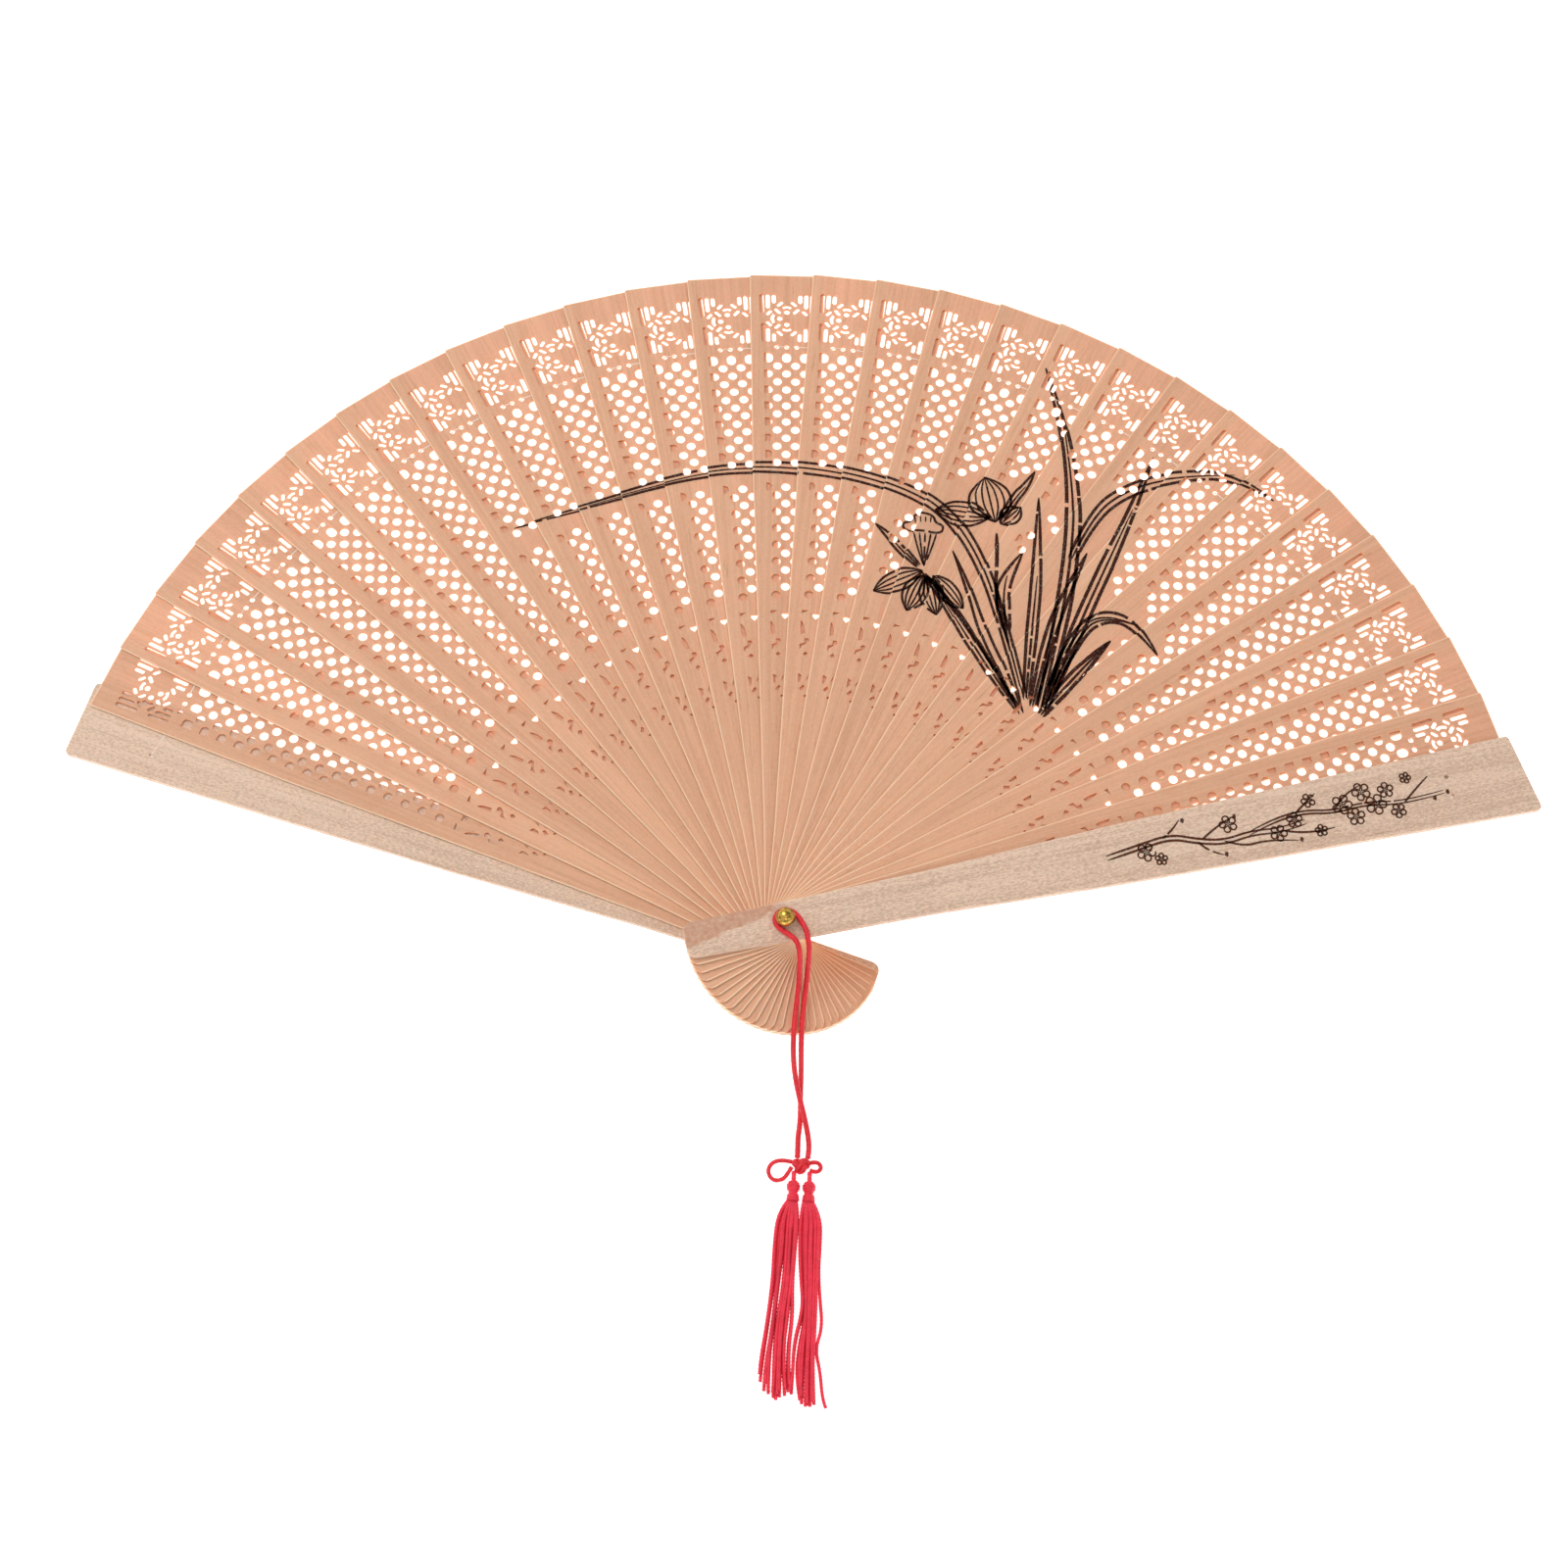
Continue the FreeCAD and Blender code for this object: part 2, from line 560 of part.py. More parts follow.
def flat_run(start, stop):
    """A stretch of the flat thread between two points at one height, with that height at its middle."""
    run = stop - start
    width, thick = dim("thread_width"), dim("thread_thick")
    box = Part.makeBox(run.Length + width, width, thick, Vector(-width / 2, -width / 2, -thick / 2))
    heading = math.degrees(math.atan2(run.y, run.x))
    box.Placement = FreeCAD.Placement(start, FreeCAD.Rotation(UP, heading))
    return box


def upright_run(place, low, high):
    """A stretch of the thread through a hole, between two heights."""
    width, thick = dim("thread_width"), dim("thread_thick")
    corner = Vector(place.x - width / 2, place.y - width / 2, low - thick / 2)
    return Part.makeBox(width, width, high - low + thick, corner)


def make_linking_thread():
    """The thread that holds the blades at their spacing when the fan is open.

    It rises through each blade's left hole, crosses to the middle hole, passes below to the right
    hole, and runs on under the next blade.
    """
    pitch, reach, half_gap = dim("thread_hole_pitch"), dim("thread_reach"), dim("layer_gap") / 2
    height = dim("guard_thick") + half_gap
    last = point_on(0, BACK_ANCHOR_ACROSS, BACK_ANCHOR_REACH, height)
    runs = [upright_run(last, dim("guard_thick") / 2, height)]
    for stick in range(1, BLADES + 1):
        below = layer_base(stick) - half_gap
        above = below + LAYER_PITCH
        left, middle, right = [point_on(stick, step * pitch, reach, below) for step in (-1, 0, 1)]
        rise = Vector(0, 0, LAYER_PITCH)
        runs += [flat_run(last, left), upright_run(left, below, above)]
        runs += [flat_run(left + rise, middle + rise), upright_run(middle, below, above)]
        runs += [flat_run(middle, right), upright_run(right, below, above)]
        last = right + rise
    height = FRONT_GUARD_BASE - half_gap
    for across in FRONT_ANCHORS_ACROSS:
        anchor = point_on(FRONT_GUARD, across, dim("anchor_reach"), height)
        runs += [flat_run(last, anchor), upright_run(anchor, height, FRONT_GUARD_TOP - dim("thread_width"))]
        last = anchor
    thread = doc.addObject("Part::Feature", "linking_thread")
    thread.Label = "linking_thread"
    thread.Shape = runs[0].multiFuse(runs[1:]).removeSplitter()
    return thread


# ---- the tassel ----

# The cord's route as (x, y, z). The right strand starts beside the neck of the ball, passes round
# it and comes off to the right. The left strand starts where the right one does.
RIGHT_STRAND = [
    (-0.3, -2.7, 23.7), (-2.3, -1.5, 23.7), (-2.25, 1.3, 23.7), (0.2, 2.65, 23.7), (2.5, 1.5, 23.7),
    (3.8, -0.4, 24.0), (4.9, -2.4, 24.3), (5.5, -4.5, 24.0), (5.9, -6.4, 22.2), (5.95, -8.2, 18.9),
    (5.9, -10.4, 15.7), (5.75, -13.6, 13.5), (5.5, -17.2, 12.7), (5.35, -20.9, 12.6), (5.4, -24.2, 12.1),
    (5.6, -27.0, 9.6), (5.9, -29.4, 6.0), (6.1, -32.0, 2.5), (6.2, -35.2, 0.9), (6.4, -38.4, 0.7),
    (6.4, -41.6, 0.75), (6.1, -44.8, 0.8), (6.2, -47.4, 1.1), (6.2, -49.6, 1.3),
]
LEFT_STRAND = [
    (-0.3, -2.7, 23.7), (1.4, -3.72, 23.7), (2.8, -5.0, 24.1), (3.6, -6.7, 23.2), (3.95, -8.4, 20.4),
    (4.05, -10.5, 17.2), (4.05, -13.4, 14.7), (3.85, -16.7, 13.5), (3.6, -20.4, 13.3), (3.55, -24.0, 12.8),
    (3.7, -27.0, 10.5), (4.2, -29.8, 6.8), (5.0, -32.8, 4.0), (6.0, -36.0, 2.7), (7.0, -39.2, 2.3),
    (7.9, -42.2, 1.6), (8.6, -45.2, 0.9), (8.8, -47.6, 1.0), (8.6, -49.6, 1.3),
]
LEFT_BOW = [
    (5.0, -50.7, 1.4), (2.8, -50.2, 1.1), (0.3, -51.0, 0.75), (-0.5, -53.2, 0.65), (0.9, -55.2, 0.65),
    (3.2, -54.8, 0.75), (4.3, -53.2, 1.2), (5.0, -51.9, 1.4),
]
RIGHT_BOW = [
    (9.2, -50.7, 1.3), (10.8, -50.1, 1.0), (12.0, -51.5, 0.8), (10.8, -52.9, 1.0), (9.2, -52.4, 1.3),
]
RUN_IN_ARC = 0.45  # share of the shorter run that an arc takes from each side of its corner


def tube(name, route, radius):
    """A cord: straight runs joined by tangent arcs, as large as the two runs beside each allow."""
    points = [Vector(*point) for point in route]
    edges, start, radii = [], points[0], []
    for before, corner, after in zip(points, points[1:], points[2:]):
        back, ahead = before - corner, after - corner
        reach = RUN_IN_ARC * min(back.Length, ahead.Length)
        turn = math.pi - back.getAngle(ahead)
        bend = reach / math.tan(turn / 2)
        back.normalize()
        ahead.normalize()
        inward = back + ahead
        inward.normalize()
        middle = corner + inward * (bend / math.cos(turn / 2) - bend)
        edges.append(Part.LineSegment(start, corner + back * reach).toShape())
        edges.append(Part.Arc(corner + back * reach, middle, corner + ahead * reach).toShape())
        start = corner + ahead * reach
        radii.append(bend)
    edges.append(Part.LineSegment(start, points[-1]).toShape())
    path = Part.Wire(edges)
    ring = Part.Wire(Part.Circle(points[0], points[1] - points[0], radius).toShape())
    cord = doc.addObject("Part::Feature", name)
    cord.Label = name
    cord.Shape = path.makePipeShell([ring], True, True)
    expected = math.pi * radius ** 2 * path.Length
    print(f"{name}: length {path.Length:.1f}, radii", *(f"{bend:.1f}" for bend in radii))
    if abs(cord.Shape.Volume / expected - 1) > 0.02:
        raise RuntimeError(f"{name}: the tube's volume is wrong")
    return cord


KNOT_LEFT, KNOT_RIGHT, KNOT_FRONT, KNOT_BACK, KNOT_HEIGHT = 5.0, 9.2, -53.2, -49.6, 2.8
TASSELS = {"left": 5.6, "right": 9.2}  # across, the middle of each tassel head
HEAD_TOP = -55.0
FRINGE_SIDES = {"left": (0.4, 8.2), "right": (8.4, 16.2)}  # across, at the fringe's loose end
FRINGE_TOP_HALF, FRINGE_TOP_THICK, FRINGE_END_THICK = 1.7, 2.8, 1.8


def make_knot():
    """The knot that ties the two strands together."""
    knot = doc.addObject("Part::Box", "tassel_knot")
    knot.Label = "tassel_knot"
    knot.Length = KNOT_RIGHT - KNOT_LEFT
    knot.Width = KNOT_BACK - KNOT_FRONT
    knot.Height = KNOT_HEIGHT
    knot.Placement.Base = Vector(KNOT_LEFT, KNOT_FRONT, 0)
    return knot


def lying_cylinder(name, x, y, radius, length):
    """A cylinder that runs from y towards -Y, its sizes bound to the sheet or plain numbers."""
    cylinder = doc.addObject("Part::Cylinder", name)
    cylinder.setExpression("Radius", radius)
    cylinder.setExpression("Height", length)
    along = FreeCAD.Rotation(Vector(1, 0, 0), 90)
    cylinder.Placement = FreeCAD.Placement(Vector(x, y, dim("head_wrap_radius")), along)
    return cylinder


def make_tassel_head(side, x):
    """The wound head of one tassel, with the bit of cord that it hangs from."""
    wrap = lying_cylinder(f"{side}_wrap", x, HEAD_TOP, "Dims.head_wrap_radius", "Dims.head_wrap_length")
    gap = f"{KNOT_FRONT - HEAD_TOP}"
    neck = lying_cylinder(f"{side}_head_neck", x, KNOT_FRONT, "Dims.head_neck_radius", gap)
    head = doc.addObject("Part::MultiFuse", f"tassel_head_{side}")
    head.Label = f"tassel_head_{side}"
    head.Shapes = [wrap, neck]
    return head


def make_fringe(side, x):
    """One fringe, spreading flat on the surface from its head to its loose end."""
    low, high = FRINGE_SIDES[side]
    top = HEAD_TOP - dim("head_wrap_length")
    fringe = doc.addObject("Part::Wedge", f"fringe_{side}")
    fringe.Label = f"fringe_{side}"
    fringe.Ymin, fringe.Ymax = top - dim("fringe_length"), top
    fringe.Xmin, fringe.Xmax = low, high
    fringe.Zmin, fringe.Zmax = 0, FRINGE_END_THICK
    fringe.X2min, fringe.X2max = x - FRINGE_TOP_HALF, x + FRINGE_TOP_HALF
    fringe.Z2min, fringe.Z2max = 0, FRINGE_TOP_THICK
    return fringe


# ---- the whole fan ----

full_fretted_blade = make_fretted_blade()
parts = [make_back_guard()]
parts += [make_blade(stick, full_fretted_blade) for stick in range(1, BLADES + 1)]
parts += [make_front_guard(), make_rivet_pin(), make_rivet_ball(), make_linking_thread()]
parts += [tube("tassel_cord_right", RIGHT_STRAND, dim("cord_radius"))]
parts += [tube("tassel_cord_left", LEFT_STRAND, dim("cord_radius"))]
parts += [make_knot(), tube("bow_loop_left", LEFT_BOW, dim("loop_radius"))]
parts += [tube("bow_loop_right", RIGHT_BOW, dim("loop_radius"))]
for tassel_side, tassel_x in TASSELS.items():
    parts += [make_tassel_head(tassel_side, tassel_x), make_fringe(tassel_side, tassel_x)]
doc.recompute()

for thing in doc.Objects:
    if {"Invalid", "Error"} & set(thing.State):
        raise RuntimeError(f"{thing.Label} failed: {thing.State}")
for part in parts:
    if part.Shape.isNull() or not part.Shape.isValid() or len(part.Shape.Solids) != 1:
        raise RuntimeError(f"{part.Label} is not one valid solid")

os.makedirs("parts", exist_ok=True)
for part in parts:
    part.Shape.exportStep(f"parts/{part.Label}.step")
print(f"{len(parts)} pieces written")
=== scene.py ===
"""The looks of the sandalwood folding fan: wood, print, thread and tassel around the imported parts.

The CAD frame's millimetres are written as such and scaled by MM. A stick's own place is (across,
reach): across its centre line, to the right seen from the rivet, and outwards from the rivet.
"""
import functools
import math
import random

import bpy
from mathutils import Matrix, Vector
from mathutils.bvhtree import BVHTree


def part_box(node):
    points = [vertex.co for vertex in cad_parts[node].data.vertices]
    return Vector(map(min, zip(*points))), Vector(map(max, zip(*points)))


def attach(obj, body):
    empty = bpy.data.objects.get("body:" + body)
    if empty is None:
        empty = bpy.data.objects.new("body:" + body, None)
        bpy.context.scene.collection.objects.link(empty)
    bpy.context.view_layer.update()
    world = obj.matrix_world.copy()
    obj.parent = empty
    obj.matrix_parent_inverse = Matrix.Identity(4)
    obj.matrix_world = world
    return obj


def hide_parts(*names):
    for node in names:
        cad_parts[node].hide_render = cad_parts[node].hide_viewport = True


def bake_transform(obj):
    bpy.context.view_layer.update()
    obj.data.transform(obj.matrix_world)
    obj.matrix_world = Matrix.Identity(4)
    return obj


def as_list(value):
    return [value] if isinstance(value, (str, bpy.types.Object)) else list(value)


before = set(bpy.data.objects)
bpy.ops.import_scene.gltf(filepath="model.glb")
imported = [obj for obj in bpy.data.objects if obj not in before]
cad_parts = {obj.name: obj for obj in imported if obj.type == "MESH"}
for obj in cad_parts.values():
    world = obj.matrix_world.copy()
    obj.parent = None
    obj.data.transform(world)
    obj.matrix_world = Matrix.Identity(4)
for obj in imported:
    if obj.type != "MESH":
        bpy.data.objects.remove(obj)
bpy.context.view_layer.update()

MM = 0.001
ROOT = "back_guard"
BLADE_COUNT = 28
BLADES = [f"blade_{n:02d}" for n in range(1, BLADE_COUNT + 1)]
BLADE_PITCH, GUARD_PITCH = 5.2, 4.2  # degrees
BLADE_THICK = 0.54
OUTLINE = [(-23.3, 4.0), (28.0, 4.7), (125.0, 8.3), (176.0, 9.45)]  # (reach, half width) of a blade


def turn_of(stick):
    """Degrees from +Y, to the left, of a stick: 0 is the back guard, then the blades, then the front."""
    turned = BLADE_PITCH * ((BLADE_COUNT + 1) / 2 - min(max(stick, 1), BLADE_COUNT))
    if stick == 0:
        turned += GUARD_PITCH
    if stick == BLADE_COUNT + 1:
        turned -= GUARD_PITCH
    return turned


def on_stick(stick, across, reach, height):
    """The place in the frame, in mm, of a point given on a stick."""
    flat = Matrix.Rotation(math.radians(turn_of(stick)), 3, "Z") @ Vector((across, reach, 0))
    return Vector((flat.x, flat.y, height))


@functools.cache
def top_of(stick):
    """Height in mm of the upper face of a stick, read from its CAD node."""
    name = "back_guard" if stick == 0 else "front_guard" if stick > BLADE_COUNT else BLADES[stick - 1]
    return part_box(name)[1][2] / MM


def half_width(reach):
    """Half a blade's width at that distance from the rivet."""
    for (near, half), (far, far_half) in zip(OUTLINE, OUTLINE[1:]):
        if reach <= far or far == OUTLINE[-1][0]:
            return half + (far_half - half) * (reach - near) / (far - near)


# ---- camera, light and floor ----

CAMERA_DISTANCE = 700


def add_camera():
    """A camera at the angle from which the fan is pictured."""
    elevation, azimuth, roll = map(math.radians, (68.57, -2.8, -6.15))
    back = Vector((math.sin(azimuth) * math.cos(elevation), -math.cos(azimuth) * math.cos(elevation),
                   math.sin(elevation)))
    right = Vector((math.cos(azimuth), math.sin(azimuth), 0))
    up = back.cross(right)
    image_x = math.cos(roll) * right - math.sin(roll) * up
    image_y = math.sin(roll) * right + math.cos(roll) * up
    place = Vector((0, 0, 11.75)) + 0.19 * image_x + 35.23 * image_y + CAMERA_DISTANCE * back
    data = bpy.data.cameras.new("camera")
    data.sensor_width = 36
    data.lens = 69.39
    data.clip_start = 0.01
    camera = bpy.data.objects.new("camera", data)
    columns = Matrix((image_x, image_y, back)).transposed().to_4x4()
    camera.matrix_world = Matrix.Translation(place * MM) @ columns
    bpy.context.collection.objects.link(camera)
    bpy.context.scene.camera = camera


def add_area_light(name, place, size, power, colour):
    """A square soft light that faces the middle of the fan."""
    data = bpy.data.lights.new(name, "AREA")
    data.size, data.energy, data.color = size, power, colour
    light = bpy.data.objects.new(name, data)
    light.location = place
    aim = Vector((0, 0.07, 0)) - light.location
    light.rotation_euler = aim.to_track_quat("-Z", "Y").to_euler()
    bpy.context.collection.objects.link(light)


def add_studio():
    """A pale floor, a pale sky and two soft lights."""
    world = bpy.data.worlds.new("studio")
    world.use_nodes = True
    world.node_tree.nodes["Background"].inputs["Color"].default_value = (1, 1, 1, 1)
    world.node_tree.nodes["Background"].inputs["Strength"].default_value = 0.62
    bpy.context.scene.world = world
    add_area_light("key", (-0.45, 0.35, 0.95), 0.6, 4.6, (1, 0.985, 0.96))
    add_area_light("fill", (0.35, -0.55, 0.9), 0.9, 2.0, (1, 1, 1))
    bpy.ops.mesh.primitive_plane_add(size=6, location=(0, 0, -0.00005))
    floor = bpy.context.object
    floor.name = "floor"
    material = bpy.data.materials.new("floor")
    material.use_nodes = True
    shader = material.node_tree.nodes["Principled BSDF"]
    shader.inputs["Base Color"].default_value = (0.95, 0.95, 0.95, 1)
    shader.inputs["Roughness"].default_value = 0.9
    shader.inputs["Emission Color"].default_value = (1, 1, 1, 1)
    shader.inputs["Emission Strength"].default_value = 0.8
    floor.data.materials.append(material)
    bpy.context.scene.view_settings.view_transform = "Standard"


# ---- shader building ----

class Graph:
    """A material's nodes, with short calls that add one and link what feeds it."""

    def __init__(self, name):
        self.material = bpy.data.materials.new(name)
        self.material.use_nodes = True
        self.tree = self.material.node_tree
        self.shader = self.tree.nodes["Principled BSDF"]

    def add(self, kind, settings=None, **inputs):
        node = self.tree.nodes.new(kind)
        for key, value in (settings or {}).items():
            setattr(node, key, value)
        for key, value in inputs.items():
            self.feed(node, key.replace("_", " "), value)
        return node

    def feed(self, node, socket, value):
        """Links a node's output, or sets a plain number or colour, on an input found by name or number."""
        target = node.inputs[int(socket)] if socket.isdigit() else node.inputs[socket]
        if isinstance(value, bpy.types.NodeSocket):
            self.tree.links.new(value, target)
        else:
            target.default_value = value

    def maths(self, operation, *values):
        node = self.add("ShaderNodeMath", {"operation": operation})
        for number, value in enumerate(values):
            self.feed(node, str(number), value)
        return node.outputs[0]

    def mix(self, share, first, second, blend="MIX"):
        node = self.add("ShaderNodeMix", {"data_type": "RGBA", "blend_type": blend})
        self.feed(node, "0", share)
        self.feed(node, "6", first)
        self.feed(node, "7", second)
        return node.outputs[2]

    def ramp(self, value, *stops):
        """A colour ramp; a stop is (position, grey) or (position, colour)."""
        node = self.add("ShaderNodeValToRGB", Fac=value)
        elements = node.color_ramp.elements
        while len(elements) < len(stops):
            elements.new(0.5)
        for element, (position, colour) in zip(elements, stops):
            element.position = position
            element.color = (colour, colour, colour, 1) if isinstance(colour, float) else colour
        return node.outputs[0]

    def noise(self, vector, scale, detail=3.0, rough=0.55):
        return self.add("ShaderNodeTexNoise", Vector=vector, Scale=scale, Detail=detail,
                        Roughness=rough).outputs["Fac"]

    def place(self, vector, turn=0.0, scale=(1, 1, 1), shift=(0, 0, 0)):
        node = self.add("ShaderNodeMapping", Vector=vector)
        node.inputs["Rotation"].default_value[2] = turn
        node.inputs["Scale"].default_value = scale
        node.inputs["Location"].default_value = shift
        return node.outputs[0]

    def bump(self, height, distance, strength=1.0):
        node = self.add("ShaderNodeBump", Height=height, Distance=distance, Strength=strength)
        self.feed(self.shader, "Normal", node.outputs[0])


def rgb(red, green, blue):
    return (red, green, blue, 1.0)


# ---- wood ----

def stain(g, local, colour):
    """A reddish stain that fans out over one side of a guard's handle end."""
    axes = g.add("ShaderNodeSeparateXYZ", Vector=local).outputs
    ragged = g.maths("MULTIPLY", g.maths("SUBTRACT", g.noise(local, 420.0, 4.0), 0.5), 2.6 * MM)
    slant = g.maths("ADD", g.maths("MULTIPLY", axes[1], 0.21), 3.2 * MM)
    edge = g.maths("ADD", g.maths("ADD", axes[0], slant), ragged)
    beyond = g.maths("MAXIMUM", g.maths("MULTIPLY", edge, 2500.0), 0.0)
    side = g.maths("SUBTRACT", 1.0, g.maths("SMOOTH_MIN", beyond, 1.0, 0.2))
    behind = g.maths("MINIMUM", g.maths("MAXIMUM", g.maths("MULTIPLY", axes[1], -400.0), 0.0), 1.0)
    patchy = g.ramp(g.noise(local, 900.0, 3.0), (0.3, 0.45), (0.65, 0.95))
    share = g.maths("MULTIPLY", g.maths("MULTIPLY", side, behind), patchy)
    return g.mix(share, colour, rgb(0.56, 0.30, 0.19))


def edge_line(g, local):
    """A mask of the cut along a blade's outline: its side and end faces, and a hair's breadth of the face,
    which get a painted highlight.
    """
    axes = g.add("ShaderNodeSeparateXYZ", Vector=local).outputs

    def half(low, high):
        (near, near_half), (far, far_half) = low, high
        slope = (far_half - near_half) / (far - near)
        return g.maths("ADD", g.maths("MULTIPLY", axes[1], slope), (near_half - slope * near) * MM)
    handle, middle, outer = [half(*pair) for pair in zip(OUTLINE, OUTLINE[1:])]
    across = g.maths("MINIMUM", g.maths("MAXIMUM", handle, middle), outer)
    head, tip = OUTLINE[0][0] * MM, OUTLINE[-1][0] * MM
    ends = g.maths("MINIMUM", g.maths("SUBTRACT", axes[1], head), g.maths("SUBTRACT", tip, axes[1]))
    inset = g.maths("MINIMUM", g.maths("SUBTRACT", across, g.maths("ABSOLUTE", axes[0])), ends)
    return g.ramp(g.maths("MULTIPLY", inset, 1 / MM), (0.16, 1.0), (0.34, 0.0))


def cut_faces(g, local, colour):
    """A painted highlight on the cut along a blade's outline, and a painted orange glow on its holes' walls
    that stands in for light through the wood.
    """
    edge = edge_line(g, local)
    facing = g.add("ShaderNodeSeparateXYZ", Vector=g.add("ShaderNodeTexCoord").outputs["Normal"]).outputs[2]
    wall_glow = g.ramp(g.maths("ABSOLUTE", facing), (0.3, 1.0), (0.6, 0.0))
    wall_glow = g.maths("MULTIPLY", wall_glow, g.maths("SUBTRACT", 1.0, edge))
    # the holes' walls are painted orange and glow faintly: painted light standing in for light passed
    # through and between the blades
    g.feed(g.shader, "Emission Color", rgb(1.0, 0.36, 0.14))
    g.feed(g.shader, "Emission Strength", g.maths("MULTIPLY", wall_glow, 0.05))
    colour = g.mix(g.maths("MULTIPLY", wall_glow, 0.9), colour, rgb(0.86, 0.36, 0.16))
    # the pale band along the outline is a painted highlight of the lit cut edges
    return g.mix(g.maths("MULTIPLY", edge, 0.75), colour, rgb(0.90, 0.66, 0.47))


def wood(name, stick, light, dark, glow, speckled):
    """Sanded sandalwood with its grain along the stick; glow is how far light travels in it, in mm."""
    draw = random.Random(100 + stick)
    g = Graph(name)
    here = g.add("ShaderNodeTexCoord").outputs["Object"]
    local = g.place(here, turn=-math.radians(turn_of(stick)))
    shift = (draw.random(), draw.random(), draw.random())
    streaks = g.noise(g.place(local, scale=(1500, 26, 800), shift=shift), 1.0, 4.0, 0.6)
    bands = g.noise(g.place(local, scale=(160, 5, 90), shift=shift), 1.0, 3.0)
    speckle = g.noise(g.place(local, scale=(3200, 1100, 3200), shift=shift), 1.0, 2.0, 0.7)
    pores = g.noise(g.place(local, scale=(2600, 120, 2600), shift=shift), 1.0, 2.0)
    tone = g.maths("ADD", g.maths("MULTIPLY", streaks, 0.45), g.maths("MULTIPLY", bands, 0.35))
    tone = g.maths("MULTIPLY", tone, (1 - speckled) / 0.8)
    tone = g.maths("ADD", tone, g.maths("MULTIPLY", speckle, speckled))
    spread = 0.14 - 0.12 * speckled
    colour = g.ramp(tone, (0.48 - spread, dark), (0.48 + spread, light))
    pore_mask = g.ramp(pores, (0.27, 1.0), (0.36, 0.0))
    colour = g.mix(g.maths("MULTIPLY", pore_mask, 0.35), colour, rgb(0.36, 0.19, 0.09))
    if 1 <= stick <= BLADE_COUNT:
        # painted highlight on the cut edges and painted glow on the holes' walls
        colour = cut_faces(g, local, colour)
    if stick > BLADE_COUNT:
        colour = stain(g, local, colour)
    g.feed(g.shader, "Base Color", colour)
    g.feed(g.shader, "Roughness", g.ramp(streaks, (0.3, 0.62), (0.7, 0.5)))
    g.shader.inputs["Specular IOR Level"].default_value = 0.3
    g.shader.inputs["Subsurface Weight"].default_value = 1.0
    g.shader.inputs["Subsurface Radius"].default_value = (1.0, 0.62, 0.45)
    g.shader.inputs["Subsurface Scale"].default_value = glow * MM
    g.bump(g.maths("ADD", streaks, g.maths("MULTIPLY", speckle, 0.6)), 0.03 * MM, 0.6)
    return g.material


def dress(node, material):
    """Gives a CAD node one material all over."""
    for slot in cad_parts[node].material_slots:
        slot.material = material


def dress_wood():
    for stick, name in enumerate(BLADES, start=1):
        draw = random.Random(stick)
        warm = 1 + draw.uniform(-0.03, 0.03)
        light = rgb(0.76 * warm, 0.46 * warm, 0.30 * warm)
        dark = rgb(0.64 * warm, 0.36 * warm, 0.225 * warm)
        dress(name, wood(f"wood_{name}", stick, light, dark, 0.55, 0.3))
    light, dark = rgb(0.79, 0.605, 0.475), rgb(0.58, 0.405, 0.30)
    dress("back_guard", wood("wood_back_guard", 0, light, dark, 0.4, 0.55))
    dress("front_guard", wood("wood_front_guard", BLADE_COUNT + 1, light, dark, 0.4, 0.55))


# ---- brass ----

def dress_brass():
    """Polished brass with fine turning marks and a little tarnish."""
    g = Graph("brass")
    here = g.add("ShaderNodeTexCoord").outputs["Object"]
    marks = g.noise(g.place(here, scale=(300, 300, 9000)), 1.0, 2.0)
    tarnish = g.noise(here, 900.0, 4.0)
    g.feed(g.shader, "Base Color", g.mix(g.ramp(tarnish, (0.44, 0.0), (0.62, 1.0)),
                                         rgb(0.80, 0.50, 0.11), rgb(0.26, 0.14, 0.03)))
    g.shader.inputs["Metallic"].default_value = 1.0
    g.feed(g.shader, "Roughness", g.ramp(tarnish, (0.35, 0.12), (0.8, 0.3)))
    g.bump(marks, 0.004 * MM, 0.5)
    for node in ("rivet_ball", "rivet_pin"):
        dress(node, g.material)
    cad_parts["rivet_ball"].data.shade_smooth()


# ---- cords ----

RIGHT_STRAND = [
    (-0.3, -2.7, 23.7), (-2.3, -1.5, 23.7), (-2.25, 1.3, 23.7), (0.2, 2.65, 23.7), (2.5, 1.5, 23.7),
    (3.8, -0.4, 24.0), (4.9, -2.4, 24.3), (5.5, -4.5, 24.0), (5.9, -6.4, 22.2), (5.95, -8.2, 18.9),
    (5.9, -10.4, 15.7), (5.75, -13.6, 13.5), (5.5, -17.2, 12.7), (5.35, -20.9, 12.6), (5.4, -24.2, 12.1),
    (5.6, -27.0, 9.6), (5.9, -29.4, 6.0), (6.1, -32.0, 2.5), (6.2, -35.2, 0.9), (6.4, -38.4, 0.7),
    (6.4, -41.6, 0.75), (6.1, -44.8, 0.8), (6.2, -47.4, 1.1), (6.2, -49.6, 1.3),
]
LEFT_STRAND = [
    (-0.3, -2.7, 23.7), (1.4, -3.72, 23.7), (2.8, -5.0, 24.1), (3.6, -6.7, 23.2), (3.95, -8.4, 20.4),
    (4.05, -10.5, 17.2), (4.05, -13.4, 14.7), (3.85, -16.7, 13.5), (3.6, -20.4, 13.3), (3.55, -24.0, 12.8),
    (3.7, -27.0, 10.5), (4.2, -29.8, 6.8), (5.0, -32.8, 4.0), (6.0, -36.0, 2.7), (7.0, -39.2, 2.3),
    (7.9, -42.2, 1.6), (8.6, -45.2, 0.9), (8.8, -47.6, 1.0), (8.6, -49.6, 1.3),
]
